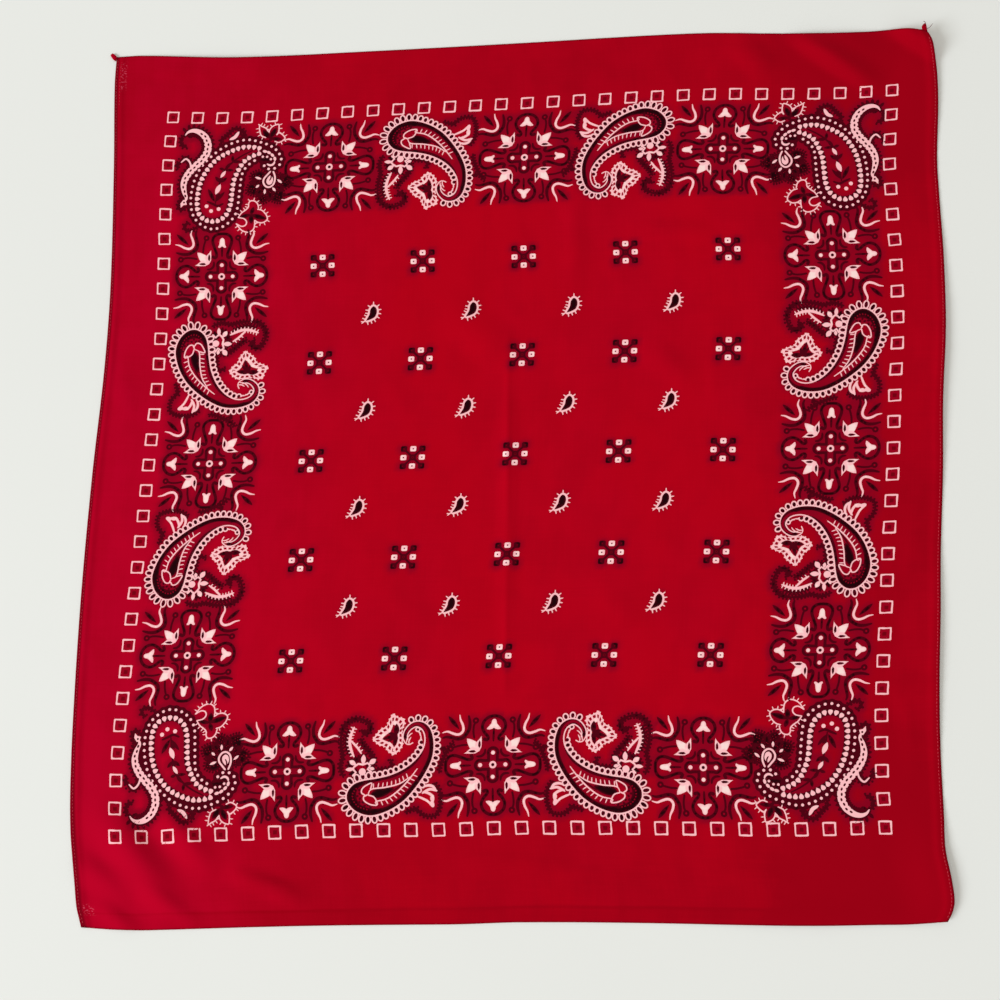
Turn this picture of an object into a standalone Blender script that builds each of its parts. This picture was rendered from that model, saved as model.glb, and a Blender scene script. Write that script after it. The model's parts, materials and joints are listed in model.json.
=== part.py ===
"""A square cotton bandana laid flat, print side up.

One piece of cloth makes it. Its left and right sides are turned under in narrow hems, and
its top and bottom sides are the cloth's own woven edges. It rests on its underside, at
z = 0, and only its folds and the sides that have sprung up stand off that plane.
The origin is under the middle of the laid cloth, +Y runs up the cloth along its hems.
"""

import math
from collections import namedtuple

import bmesh
import bpy

MM = 0.001

# The cloth
WALL = 1.0 * MM  # one layer, as a solid
SEAM_GAP = 0.3 * MM  # clear space between the panel and a hem turned under it
WIDTH = 525 * MM  # between the hemmed sides, on average
HEIGHT = 550 * MM  # between the woven edges, on average
HEM_WIDTH = 5.0 * MM
HEM_STEP_RUN = 7.0 * MM  # the panel comes down from a hem to the table over this width
GRID_STEP = 9.0 * MM

CLOTH_RED = (0.36, 0.003, 0.012, 1.0)
CLOTH_ROUGHNESS = 0.85

# Where each side lies: how far along it, as a share of its length from the bottom or the
# left, and how far from the middle line there, in millimetres.
Station = namedtuple("Station", "along place")
LEFT_SIDE = (
    Station(0.000, -258.3),
    Station(0.010, -259.9),
    Station(0.022, -261.7),
    Station(0.047, -263.5),
    Station(0.075, -265.5),
    Station(0.10, -267.1),
    Station(0.14, -268.3),
    Station(0.22, -268.5),
    Station(0.36, -266.6),
    Station(0.50, -262.5),
    Station(0.62, -257.5),
    Station(0.72, -255.5),
    Station(0.86, -256.3),
    Station(0.965, -257.9),
    Station(1.00, -257.3),
)
RIGHT_SIDE = (
    Station(0.000, 254.0),
    Station(0.010, 257.0),
    Station(0.022, 258.5),
    Station(0.045, 257.3),
    Station(0.075, 254.5),
    Station(0.11, 254.3),
    Station(0.18, 253.9),
    Station(0.25, 255.0),
    Station(0.33, 257.5),
    Station(0.40, 259.1),
    Station(0.487, 262.4),
    Station(0.566, 264.4),
    Station(0.65, 268.0),
    Station(0.73, 268.5),
    Station(0.80, 267.4),
    Station(0.846, 267.0),
    Station(0.91, 269.2),
    Station(0.94, 269.6),
    Station(0.965, 269.1),
    Station(0.985, 268.3),
    Station(0.993, 267.1),
    Station(1.00, 264.9),
)
TOP_SIDE = (
    Station(0.00, 271.4),
    Station(0.03, 272.0),
    Station(0.15, 269.3),
    Station(0.30, 271.0),
    Station(0.50, 274.2),
    Station(0.66, 277.3),
    Station(0.74, 278.0),
    Station(0.80, 276.9),
    Station(0.87, 275.9),
    Station(0.93, 276.2),
    Station(0.968, 277.4),
    Station(0.985, 276.9),
    Station(1.00, 275.0),
)
BOTTOM_SIDE = (
    Station(0.00, -278.9),
    Station(0.05, -280.2),
    Station(0.08, -280.0),
    Station(0.18, -277.8),
    Station(0.28, -275.9),
    Station(0.376, -274.7),
    Station(0.446, -273.9),
    Station(0.515, -272.3),
    Station(0.66, -271.7),
    Station(0.80, -272.3),
    Station(0.86, -272.1),
    Station(0.92, -271.1),
    Station(0.96, -270.5),
    Station(1.00, -269.0),
)

# Soft ridges in the cloth: the two ends of the crest, half the width at its foot, and its
# height, all in millimetres.
Fold = namedtuple("Fold", "start_x start_y end_x end_y half_width height")
FOLDS = (
    Fold(-256, -205, -199, -272, 18, 4.4),
    Fold(-216, -208, -178, -248, 12, 2.4),
    Fold(-209, -202, -171, -242, 22, 1.4),
    Fold(-270, -239, -226, -260, 13, 2.5),
    Fold(-252, -263, -222, -285, 9, 1.6),
    Fold(-226, -254, -186, -277, 9, 1.5),
    Fold(-171, -245, -122, -262, 9, 2.3),
    Fold(178, 281, 236, 240, 12, 3.0),
    Fold(183, 288, 242, 247, 21, 2.3),
    Fold(140, 276, 172, 246, 15, 2.0),
    Fold(240, 290, 284, 260, 16, 4.6),
    Fold(-46, 106, 8, 62, 19, 1.7),
    Fold(-1, 87, -2, -145, 9, 0.9),
    Fold(74, 149, 134, 147, 10, 1.5),
    Fold(40, 190, 41, 109, 12, 1.1),
    Fold(80, 77, 120, 47, 13, 1.2),
)

# Stretches of a side that have sprung off the table: the side, how far along it, half the
# length of the lifted stretch, how far in the lift reaches, and its height, in millimetres.
Lift = namedtuple("Lift", "side along half_length inward height")
LIFTS = (
    Lift("right", 0.04, 55, 34, 2.9),
    Lift("right", 0.30, 85, 26, 1.9),
    Lift("right", 0.62, 110, 28, 2.6),
    Lift("right", 0.97, 70, 42, 1.7),
    Lift("top", 0.92, 55, 36, 1.1),
    Lift("top", 0.13, 70, 22, 2.0),
    Lift("bottom", 0.85, 90, 20, 1.4),
)

# The end of each hem sticks out past the cloth's top corner, twisted to a point: how far
# out of the corner each section stands, across and up, and its half width, in millimetres.
Section = namedtuple("Section", "across up half_width")
LEFT_HEM_END = (
    Section(-0.3, 0.8, 1.6),
    Section(-1.9, 1.9, 1.4),
    Section(-3.6, 3.0, 1.5),
    Section(-4.7, 3.7, 1.1),
)
RIGHT_HEM_END = (
    Section(-1.7, 1.2, 1.5),
    Section(-1.9, 2.4, 1.6),
    Section(-1.5, 3.6, 1.2),
    Section(-1.0, 4.9, 0.5),
)

# Cloth that stands up is drawn in from its sides by its height, its distance from the
# middle and this length.
DRAW = 580 * MM


def smooth_place(table, along):
    """The side's place at this share of its length, on a smooth curve through its stations."""
    last = len(table) - 1
    slopes = []
    for i in range(last + 1):
        before, after = table[max(i - 1, 0)], table[min(i + 1, last)]
        slopes.append((after.place - before.place) / (after.along - before.along))
    i = 0
    while i < last - 1 and along > table[i + 1].along:
        i += 1
    a, b = table[i], table[i + 1]
    run = b.along - a.along
    t = (along - a.along) / run
    return (
        (2 * t**3 - 3 * t**2 + 1) * a.place
        + (t**3 - 2 * t**2 + t) * run * slopes[i]
        + (3 * t**2 - 2 * t**3) * b.place
        + (t**3 - t**2) * run * slopes[i + 1]
    )


def laid_at(across, up):
    """The (x, y) in metres of a point of the cloth, given as shares of its width and height."""
    x = (1 - across) * smooth_place(LEFT_SIDE, up) + across * smooth_place(RIGHT_SIDE, up)
    y = (1 - up) * smooth_place(BOTTOM_SIDE, across) + up * smooth_place(TOP_SIDE, across)
    return x * MM, y * MM


def bell(distance):
    """1 at the middle, falling smoothly to exactly 0 from 1 outwards."""
    if abs(distance) >= 1:
        return 0.0
    return 0.5 + 0.5 * math.cos(math.pi * distance)


def fold_height(fold, x, y):
    """How high this fold raises the cloth at (x, y) in millimetres."""
    run_x, run_y = fold.end_x - fold.start_x, fold.end_y - fold.start_y
    length = math.hypot(run_x, run_y)
    along = ((x - fold.start_x) * run_x + (y - fold.start_y) * run_y) / length
    off = ((x - fold.start_x) * run_y - (y - fold.start_y) * run_x) / length
    return fold.height * bell(off / fold.half_width) * bell(2 * along / length - 1) ** 0.5


def lift_height(lift, across, up):
    """How high this lifted stretch of a side raises the cloth, in millimetres."""
    width, height = WIDTH / MM, HEIGHT / MM
    inward, along, length = {
        "left": (across * width, up, height),
        "right": ((1 - across) * width, up, height),
        "bottom": (up * height, across, width),
        "top": ((1 - up) * height, across, width),
    }[lift.side]
    if inward >= lift.inward:
        return 0.0
    rise = bell(inward / lift.inward)
    return lift.height * rise * bell((along - lift.along) * length / lift.half_length)


def drape_height(across, up):
    """The height in metres of the cloth's underside above the table, its hems left out."""
    x, y = laid_at(across, up)
    height = sum(fold_height(fold, x / MM, y / MM) for fold in FOLDS)
    height += sum(lift_height(lift, across, up) for lift in LIFTS)
    return height * MM


def laid_point(across, up, raised=0.0):
    """The (x, y, z) in metres of a point of the cloth's underside, raised by this much."""
    x, y = laid_at(across, up)
    height = drape_height(across, up)
    drawn = 1 - height / DRAW
    return x * drawn, y * drawn, height + raised


def lean(across, up):
    """How much further apart layers that lean stand, measured straight up."""
    step = 1 * MM
    height = drape_height(across, up)
    rise_across = drape_height(across + step / WIDTH, up) - height
    rise_up = drape_height(across, up + step / HEIGHT) - height
    return math.hypot(1, rise_across / step, rise_up / step)


def hem_step(across, up):
    """How much a hem under it raises the panel here, in metres."""
    inward = min(across, 1 - across) * WIDTH
    past = (inward - HEM_WIDTH) / HEM_STEP_RUN
    if past >= 1:
        return 0.0
    return (WALL + SEAM_GAP) * bell(max(past, 0.0)) * lean(across, up)


def width_stations():
    """Shares of the width where the panel has points: closer together over the hems."""
    edge = [0.0, HEM_WIDTH / 2, HEM_WIDTH, HEM_WIDTH + HEM_STEP_RUN / 2]
    edge = [place / WIDTH for place in (*edge, HEM_WIDTH + HEM_STEP_RUN)]
    count = round((1 - 2 * edge[-1]) * WIDTH / GRID_STEP)
    middle = [edge[-1] + (1 - 2 * edge[-1]) * i / count for i in range(1, count)]
    return edge + middle + [1 - share for share in reversed(edge)]


def height_stations():
    """Shares of the height where the cloth has points."""
    count = round(HEIGHT / GRID_STEP)
    return [i / count for i in range(count + 1)]


def make_collection(name):
    collection = bpy.data.collections.new(name)
    bpy.context.scene.collection.children.link(collection)
    return collection


def cloth_material(name):
    material = bpy.data.materials.new(name)
    material.use_nodes = True
    shader = material.node_tree.nodes["Principled BSDF"]
    shader.inputs["Base Color"].default_value = CLOTH_RED
    shader.inputs["Roughness"].default_value = CLOTH_ROUGHNESS
    shader.inputs["Metallic"].default_value = 0.0
    return material


def make_wall(name, rows, collection):
    """A wall of cloth over a grid of (x, y, z) points, rows running up, built upwards."""
    columns = len(rows[0])
    shape = bmesh.new()
    bmesh.ops.create_grid(
        shape, x_segments=columns - 1, y_segments=len(rows) - 1, size=0.5
    )
    for vertex in shape.verts:
        column = round((vertex.co.x + 0.5) * (columns - 1))
        row = round((vertex.co.y + 0.5) * (len(rows) - 1))
        vertex.co = rows[row][column]
    mesh = bpy.data.meshes.new(name)
    shape.to_mesh(mesh)
    shape.free()
    mesh.materials.append(cloth_material(name))
    mesh.shade_smooth()
    wall = bpy.data.objects.new(name, mesh)
    collection.objects.link(wall)
    thicken = wall.modifiers.new("Wall", "SOLIDIFY")
    thicken.thickness = WALL
    thicken.offset = 1.0
    return wall


def make_panel(collection):
    """The square of cloth, raised where the hems lie under it."""
    rows = [
        [laid_point(across, up, hem_step(across, up)) for across in width_stations()]
        for up in height_stations()
    ]
    return make_wall("panel", rows, collection)


def make_hem(name, shares, hem_end, corner, collection):
    """A turned-under strip: shares of the width its columns lie at, and its pointed end."""
    rows = [[laid_point(across, up) for across in shares] for up in height_stations()]
    corner_x, corner_y, corner_z = laid_point(corner, 1.0)
    for section in hem_end:
        x = corner_x + section.across * MM
        y = corner_y + section.up * MM
        half = section.half_width * MM
        rows.append([(x - half, y, corner_z), (x, y, corner_z), (x + half, y, corner_z)])
    return make_wall(name, rows, collection)


def main():
    for thing in list(bpy.data.objects):
        bpy.data.objects.remove(thing, do_unlink=True)
    collection = make_collection("bandana")
    make_panel(collection)
    hem = HEM_WIDTH / WIDTH
    make_hem("hem_left", (0.0, hem / 2, hem), LEFT_HEM_END, 0.0, collection)
    make_hem("hem_right", (1 - hem, 1 - hem / 2, 1.0), RIGHT_HEM_END, 1.0, collection)


main()
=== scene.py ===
"""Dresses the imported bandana: thin cotton with its creases, hems and stitches, and its print.

The cloth is a thin shell over the grid of its threads, laid where the solids lie. The print
is worked out flat, in millimetres round the middle of each motif, then laid on that grid.
"""

import cmath
import json
import math
import random
from collections import namedtuple

import bpy
import numpy as np
from mathutils import Euler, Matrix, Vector
from mathutils.geometry import delaunay_2d_cdt
from mathutils.kdtree import KDTree

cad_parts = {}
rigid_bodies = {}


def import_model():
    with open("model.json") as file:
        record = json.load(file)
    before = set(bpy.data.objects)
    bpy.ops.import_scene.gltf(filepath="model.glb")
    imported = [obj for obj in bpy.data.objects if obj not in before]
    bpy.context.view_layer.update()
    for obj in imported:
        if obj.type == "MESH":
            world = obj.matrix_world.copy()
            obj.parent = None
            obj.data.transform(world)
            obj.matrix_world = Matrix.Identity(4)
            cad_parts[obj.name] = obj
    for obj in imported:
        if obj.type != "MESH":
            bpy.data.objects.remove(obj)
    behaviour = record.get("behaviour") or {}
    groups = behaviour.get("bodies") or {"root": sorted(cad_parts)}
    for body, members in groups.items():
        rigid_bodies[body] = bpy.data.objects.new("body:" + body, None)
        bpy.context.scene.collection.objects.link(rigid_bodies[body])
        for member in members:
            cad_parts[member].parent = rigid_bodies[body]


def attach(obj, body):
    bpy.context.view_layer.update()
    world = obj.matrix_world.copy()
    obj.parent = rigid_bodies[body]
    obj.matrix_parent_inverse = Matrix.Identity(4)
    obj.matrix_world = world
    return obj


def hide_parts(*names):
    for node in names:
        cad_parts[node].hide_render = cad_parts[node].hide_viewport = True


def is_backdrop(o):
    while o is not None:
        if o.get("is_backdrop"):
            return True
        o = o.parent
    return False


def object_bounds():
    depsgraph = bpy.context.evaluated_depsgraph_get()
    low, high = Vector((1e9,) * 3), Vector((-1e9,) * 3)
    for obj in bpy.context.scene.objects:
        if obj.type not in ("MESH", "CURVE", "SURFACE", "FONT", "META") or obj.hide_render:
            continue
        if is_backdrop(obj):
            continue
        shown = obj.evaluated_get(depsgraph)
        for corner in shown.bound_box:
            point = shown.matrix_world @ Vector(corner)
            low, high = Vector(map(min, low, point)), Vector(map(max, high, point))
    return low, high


for thing in list(bpy.data.objects):
    bpy.data.objects.remove(thing, do_unlink=True)
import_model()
CAD_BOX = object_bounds()

bl_info = {
    "name": "Printed bandana, laid flat",
    "version": (1, 0, 0),
    "blender": (4, 5, 0),
    "location": "3D View > Sidebar > Bandana",
    "description": "Makes a laid cotton bandana with a paisley border, and a studio for it",
    "category": "Object",
}

MM = 0.001
BODY = "root"

# ---------------------------------------------------------------------------------------
# How the cloth lies, in millimetres. The tables follow the solids' own.


def table_of(kind, *entries):
    """A table of this kind of row."""
    return tuple(kind(*entry) for entry in entries)


# The places of each side at shares of its length.
Station = namedtuple("Station", "along place")
LEFT_SIDE = table_of(
    Station,
    (0.000, -258.3), (0.010, -259.9), (0.022, -261.7), (0.047, -263.5), (0.075, -265.5),
    (0.10, -267.1), (0.14, -268.3), (0.22, -268.5), (0.36, -266.6), (0.50, -262.5), (0.62, -257.5),
    (0.72, -255.5), (0.86, -256.3), (0.965, -257.9), (1.00, -257.3),
)
RIGHT_SIDE = table_of(
    Station,
    (0.000, 254.0), (0.010, 257.0), (0.022, 258.5), (0.045, 257.3), (0.075, 254.5), (0.11, 254.3),
    (0.18, 253.9), (0.25, 255.0), (0.33, 257.5), (0.40, 259.1), (0.487, 262.4), (0.566, 264.4),
    (0.65, 268.0), (0.73, 268.5), (0.80, 267.4), (0.846, 267.0), (0.91, 269.2), (0.94, 269.6),
    (0.965, 269.1), (0.985, 268.3), (0.993, 267.1), (1.00, 264.9),
)
TOP_SIDE = table_of(
    Station,
    (0.00, 271.4), (0.03, 272.0), (0.15, 269.3), (0.30, 271.0), (0.50, 274.2), (0.66, 277.3),
    (0.74, 278.0), (0.80, 276.9), (0.87, 275.9), (0.93, 276.2), (0.968, 277.4), (0.985, 276.9),
    (1.00, 275.0),
)
BOTTOM_SIDE = table_of(
    Station,
    (0.00, -278.9), (0.05, -280.2), (0.08, -280.0), (0.18, -277.8), (0.28, -275.9), (0.376, -274.7),
    (0.446, -273.9), (0.515, -272.3), (0.66, -271.7), (0.80, -272.3), (0.86, -272.1),
    (0.92, -271.1), (0.96, -270.5), (1.00, -269.0),
)

# Soft ridges: the two ends of the crest, half the width at its foot, and its height.
Fold = namedtuple("Fold", "start_x start_y end_x end_y half_width height")
FOLDS = (
    Fold(-256, -205, -199, -272, 18, 4.4),
    Fold(-216, -208, -178, -248, 12, 2.4),
    Fold(-209, -202, -171, -242, 22, 1.4),
    Fold(-270, -239, -226, -260, 13, 2.5),
    Fold(-252, -263, -222, -285, 9, 1.6),
    Fold(-226, -254, -186, -277, 9, 1.5),
    Fold(-171, -245, -122, -262, 9, 2.3),
    Fold(178, 281, 236, 240, 12, 3.0),
    Fold(183, 288, 242, 247, 21, 2.3),
    Fold(140, 276, 172, 246, 15, 2.0),
    Fold(240, 290, 284, 260, 16, 4.6),
    Fold(-46, 106, 8, 62, 19, 1.7),
    Fold(-1, 87, -2, -145, 9, 0.9),
    Fold(74, 149, 134, 147, 10, 1.5),
    Fold(40, 190, 41, 109, 12, 1.1),
    Fold(80, 77, 120, 47, 13, 1.2),
)

# Finer creases and dents, too small for the solids.
CREASES = (
    Fold(-1, 92, -2, -60, 3.2, 0.50),
    Fold(-2, -40, -3, -150, 3.0, 0.38),
    Fold(124, 68, 126, 40, 7, 0.3),
    Fold(-150, -250, -128, -254, 4, 0.4),
    Fold(-236, 262, -190, 258, 8, 0.6),
    Fold(-248, -20, -230, -60, 12, 0.5),
    Fold(-252, 66, -238, 30, 12, 0.5),
    Fold(-110, 232, -60, 250, 9, 0.5),
    Fold(10, 246, 60, 238, 8, 0.4),
    Fold(232, -120, 238, -190, 8, 0.5),
    Fold(-40, -236, 60, -244, 9, 0.5),
    Fold(110, -240, 170, -248, 8, 0.45),
    Fold(-150, 60, -120, 10, 12, 0.4),
    Fold(40, -60, 90, -110, 12, 0.45),
    Fold(-90, -80, -60, -140, 12, 0.4),
    Fold(130, -30, 160, -80, 12, 0.4),
    Fold(242, 284, 279, 257, 10, 2.6),
    Fold(176, 279, 234, 238, 9, 1.8),
)

# Stretches of a side that have sprung up: the side, how far along it, half the length of
# the lifted stretch, how far in the lift reaches, and its height.
Lift = namedtuple("Lift", "side along half_length inward height")
LIFTS = (
    Lift("right", 0.04, 55, 34, 2.9),
    Lift("right", 0.30, 85, 26, 1.9),
    Lift("right", 0.62, 110, 28, 2.6),
    Lift("right", 0.97, 70, 42, 1.7),
    Lift("top", 0.92, 55, 36, 1.1),
    Lift("top", 0.13, 70, 22, 2.0),
    Lift("bottom", 0.85, 90, 20, 1.4),
)

# The end of each hem sticks out past the cloth's top corner, twisted to a point: how far
# out of the corner each section stands, across and up, and its half width.
Section = namedtuple("Section", "across up half_width")
LEFT_HEM_END = (
    Section(-0.1, -2.2, 1.2),
    Section(-1.2, -0.8, 1.5),
    Section(-2.4, 0.6, 1.4),
    Section(-3.5, 1.8, 1.0),
)
RIGHT_HEM_END = (
    Section(-1.7, 1.2, 1.5),
    Section(-1.9, 2.4, 1.6),
    Section(-1.5, 3.6, 1.2),
    Section(-1.0, 4.9, 0.5),
)

# Cloth that stands up is drawn in from its sides by its height, its distance from the
# middle and this length.
DRAW = 580.0

# Slow unevenness of cloth that was pressed and unfolded: wavelength, the direction it runs
# in, and its height in millimetres.
Wave = namedtuple("Wave", "length degrees height")
WAVES = (
    Wave(71.0, 12, 0.10),
    Wave(53.0, 64, 0.10),
    Wave(37.0, 128, 0.08),
    Wave(29.0, 35, 0.05),
    Wave(23.0, 96, 0.05),
    Wave(17.0, 152, 0.035),
)


# How a hem shows in the cloth over it, in millimetres: the strip falls away from HEM_FLAT
# inwards over HEM_FALL, it puckers, the seam draws it down over SEAM_HALF to either side,
# and its outer edge turns down within TUCK_HALF. The slow unevenness fades towards it.
HEM_FLAT, HEM_FALL = 3.6, 3.4
PUCKER = 0.10
SEAM_DIP, SEAM_HALF = 0.16, 1.3
TUCK, TUCK_HALF = 0.30, 0.8
CALM_FROM, CALM_WIDTH, CALM = 6, 12, 0.6


def bell(distance):
    """1 at the middle, falling smoothly to exactly 0 from 1 outwards."""
    return np.where(np.abs(distance) >= 1, 0.0, 0.5 + 0.5 * np.cos(np.pi * distance))


def smooth_place(table, along):
    """The side's place at these shares of its length, on a smooth curve through its stations."""
    shares = np.array([station.along for station in table])
    places = np.array([station.place for station in table])
    last = len(table) - 1
    before = np.clip(np.arange(last + 1) - 1, 0, last)
    after = np.clip(np.arange(last + 1) + 1, 0, last)
    slopes = (places[after] - places[before]) / (shares[after] - shares[before])
    i = np.searchsorted(shares[1:last], along)
    run = shares[i + 1] - shares[i]
    t = (along - shares[i]) / run
    return (
        (2 * t**3 - 3 * t**2 + 1) * places[i]
        + (t**3 - 2 * t**2 + t) * run * slopes[i]
        + (3 * t**2 - 2 * t**3) * places[i + 1]
        + (t**3 - t**2) * run * slopes[i + 1]
    )


def laid_at(across, up):
    """The x and y in millimetres of points of the cloth, as shares of its width and height."""
    x = (1 - across) * smooth_place(LEFT_SIDE, up) + across * smooth_place(RIGHT_SIDE, up)
    y = (1 - up) * smooth_place(BOTTOM_SIDE, across) + up * smooth_place(TOP_SIDE, across)
    return x, y


def drawn_in(x, y, height):
    """The same points where cloth that stands this high has been drawn in from the sides."""
    return x * (1 - height / DRAW), y * (1 - height / DRAW)


def fold_height(fold, x, y):
    """How high this fold raises the cloth at (x, y) in millimetres."""
    run_x, run_y = fold.end_x - fold.start_x, fold.end_y - fold.start_y
    length = math.hypot(run_x, run_y)
    along = ((x - fold.start_x) * run_x + (y - fold.start_y) * run_y) / length
    off = ((x - fold.start_x) * run_y - (y - fold.start_y) * run_x) / length
    return fold.height * bell(off / fold.half_width) * bell(2 * along / length - 1) ** 0.5


def lift_height(lift, across, up, width, height):
    """How high this lifted stretch of a side raises the cloth, in millimetres."""
    inward, along, length = {
        "right": ((1 - across) * width, up, height),
        "bottom": (up * height, across, width),
        "top": ((1 - up) * height, across, width),
    }[lift.side]
    rise = bell(np.minimum(inward / lift.inward, 1))
    return lift.height * rise * bell((along - lift.along) * length / lift.half_length)


def raised(across, up, x, y, width, height):
    """How high all the folds, creases and lifted sides raise the cloth, in millimetres."""
    rise = sum(fold_height(fold, x, y) for fold in FOLDS + CREASES)
    for lift in LIFTS:
        rise = rise + lift_height(lift, across, up, width, height)
    return rise


def wave_height(x, y):
    """The slow unevenness at (x, y) in millimetres, never below 0.

    Each wave's ridges swing from side to side, and its phase keeps it from the others'.
    """
    height = 0.0
    for i, wave in enumerate(WAVES):
        angle = math.radians(wave.degrees)
        along = x * math.cos(angle) + y * math.sin(angle)
        aside = y * math.cos(angle) - x * math.sin(angle)
        swing = np.sin(aside * math.tau / (2.3 * wave.length) + 1.7 * i)
        ridge = np.sin(along * math.tau / wave.length + 2.1 * swing + i)
        height = height + wave.height * (1 + ridge) / 2
    return height


class Lay:
    """The laid cloth as a grid of points on its middle surface, in metres, with normals."""

    # How far in from a hemmed side and from a woven edge the first lines of the grid run,
    # and how far round the middle they are twice as close, for the crease pressed there.
    HEM = (0.0, 0.25, 0.7, 1.3, 2.1, 2.9, 3.3, 3.9, 5.0, 6.4, 8.2, 10.4, 12.7)
    SELVEDGE = (0.0, 0.4, 1.2, 2.4, 4.4, 6.6, 8.6, 9.5, 10.4, 12.4)
    PRESSED = 9

    def __init__(self, cloth):
        self.cloth = cloth
        self.width, self.height = cloth.width / MM, cloth.height / MM
        self.across = self.stations(self.width, cloth.step / MM, self.HEM, self.PRESSED)
        self.up = self.stations(self.height, cloth.step / MM, self.SELVEDGE, 0)
        across, up = np.meshgrid(self.across, self.up)
        x, y = laid_at(across, up)
        z = self.rise(across, up, x, y)
        self.points = np.stack([*drawn_in(x, y, z), z], axis=-1) * MM
        along_row = np.gradient(self.points, axis=1)
        along_column = np.gradient(self.points, axis=0)
        normals = np.cross(along_row, along_column)
        self.normals = normals / np.linalg.norm(normals, axis=-1, keepdims=True)

    @staticmethod
    def stations(size, step, edge, fine):
        """Shares of a size, close together at both ends and this far round the middle."""
        start = edge[-1]
        count = round((size - 2 * start) / step)
        even = np.linspace(start, size - start, count + 1)
        places = list(edge[:-1]) + list(even) + [size - place for place in edge[:-1]]
        near = [p for p in even if abs(p - size / 2) < fine]
        places += [(a + b) / 2 for a, b in zip(near, near[1:])]
        return np.array(sorted(places)) / size

    def rise(self, across, up, x, y):
        """How high the cloth's middle surface stands at these points, in millimetres."""
        cloth = self.cloth
        height = cloth.clearance / MM + cloth.thickness / MM / 2
        height = height + raised(across, up, x, y, self.width, self.height)
        inward = np.minimum(across, 1 - across) * self.width
        along = up * self.height
        pucker = PUCKER * np.sin(along * 0.83 + 1.9 * np.sin(along * 0.21))
        hem = bell(np.clip((inward - HEM_FLAT) / HEM_FALL, 0, 1))
        seam = bell((inward - cloth.stitch_inset / MM) / SEAM_HALF)
        height = height + hem * (cloth.hem_rise / MM + pucker) - SEAM_DIP * seam
        height = height - TUCK * bell(inward / TUCK_HALF)
        calm = bell(np.clip((inward - CALM_FROM) / CALM_WIDTH, 0, 1))
        return height + wave_height(x, y) * (1 - CALM * calm)

    def place(self, across, up, rise):
        """The points and normals, in metres, this far above the middle surface."""
        i = np.clip(np.searchsorted(self.across, across) - 1, 0, len(self.across) - 2)
        j = np.clip(np.searchsorted(self.up, up) - 1, 0, len(self.up) - 2)
        s = ((across - self.across[i]) / (self.across[i + 1] - self.across[i]))[:, None]
        t = ((up - self.up[j]) / (self.up[j + 1] - self.up[j]))[:, None]

        def blend(grid):
            low = grid[j, i] * (1 - s) + grid[j, i + 1] * s
            high = grid[j + 1, i] * (1 - s) + grid[j + 1, i + 1] * s
            return low * (1 - t) + high * t

        normals = blend(self.normals)
        normals /= np.linalg.norm(normals, axis=-1, keepdims=True)
        return blend(self.points) + normals * rise, normals


# ---------------------------------------------------------------------------------------
# Flat shapes for the print. A line or an outline is an array of complex numbers, x + iy,
# in millimetres.

WHITE, DARK, SHADE, SPOT, BARE = "white", "dark", "shade", "spot", "bare"
Patch = namedtuple("Patch", "ink outline")

# How far each ink spreads past its outline: the dark ones creep into the white.
SPREAD = {WHITE: -0.09, DARK: 0.05, SHADE: 0.05, SPOT: 0.0, BARE: 0.03}

# How much of an edge the rim of a bare dot is: the ink round it stays nearly full.
DOT_RIM = 0.3

# The lumps of a fringe: from one to the next, and half their size.
LUMP_GAP, LUMP = 2.0, 0.68


def straight(places):
    """A line or an outline with a corner at each of these places, given as pairs."""
    return np.array([complex(x, y) for x, y in places])


def evenly(line, step):
    """The same open line, its points this far apart."""
    run = np.concatenate([[0], np.cumsum(np.abs(np.diff(line)))])
    count = max(2, round(run[-1] / step) + 1)
    at = np.linspace(0, run[-1], count)
    return np.interp(at, run, line.real) + 1j * np.interp(at, run, line.imag)


def through(places, closed=False, step=0.75):
    """A smooth line through these places, given as pairs."""
    knots = straight(places)
    if closed:
        knots = np.concatenate([knots[-1:], knots, knots[:2]])
    else:
        first, last = 2 * knots[0] - knots[1], 2 * knots[-1] - knots[-2]
        knots = np.concatenate([[first], knots, [last]])
    a, b, c, d = knots[:-3], knots[1:-2], knots[2:-1], knots[3:]
    t = np.linspace(0, 1, 16, endpoint=False)[:, None]
    curve = 0.5 * (
        2 * b + (c - a) * t + (2 * a - 5 * b + 4 * c - d) * t**2 + (3 * b - a - 3 * c + d) * t**3
    )
    line = evenly(np.concatenate([curve.T.ravel(), [c[-1]]]), step)
    return line[:-1] if closed else line


def ways(line):
    """The unit direction of an open line at each of its points."""
    way = np.gradient(line)
    return way / np.abs(way)


def oval(centre, long, wide=None, degrees=0.0):
    """A closed oval: half its length, half its width, and the way it points."""
    wide = long if wide is None else wide
    count = max(8, round(math.tau * (long + wide) / 2 / 0.55))
    turn = np.arange(count) * math.tau / count
    shape = long * np.cos(turn) + 1j * wide * np.sin(turn)
    return complex(*centre) + shape * cmath.rect(1, math.radians(degrees))


def leaf(foot, tip, width, belly=0.5):
    """A pointed leaf from its foot to its tip, widest at this share of its length."""
    foot, tip = complex(*foot), complex(*tip)
    count = max(5, round(abs(tip - foot) / 0.8))
    t = np.linspace(0, 1, count + 1)
    bend = t ** (math.log(0.5) / math.log(belly))
    half = width / 2 * np.sin(np.pi * bend) ** 0.8
    side = (tip - foot) / abs(tip - foot) * 1j
    line = foot + (tip - foot) * t
    return np.concatenate([(line - side * half), (line + side * half)[-2:0:-1]])


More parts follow.
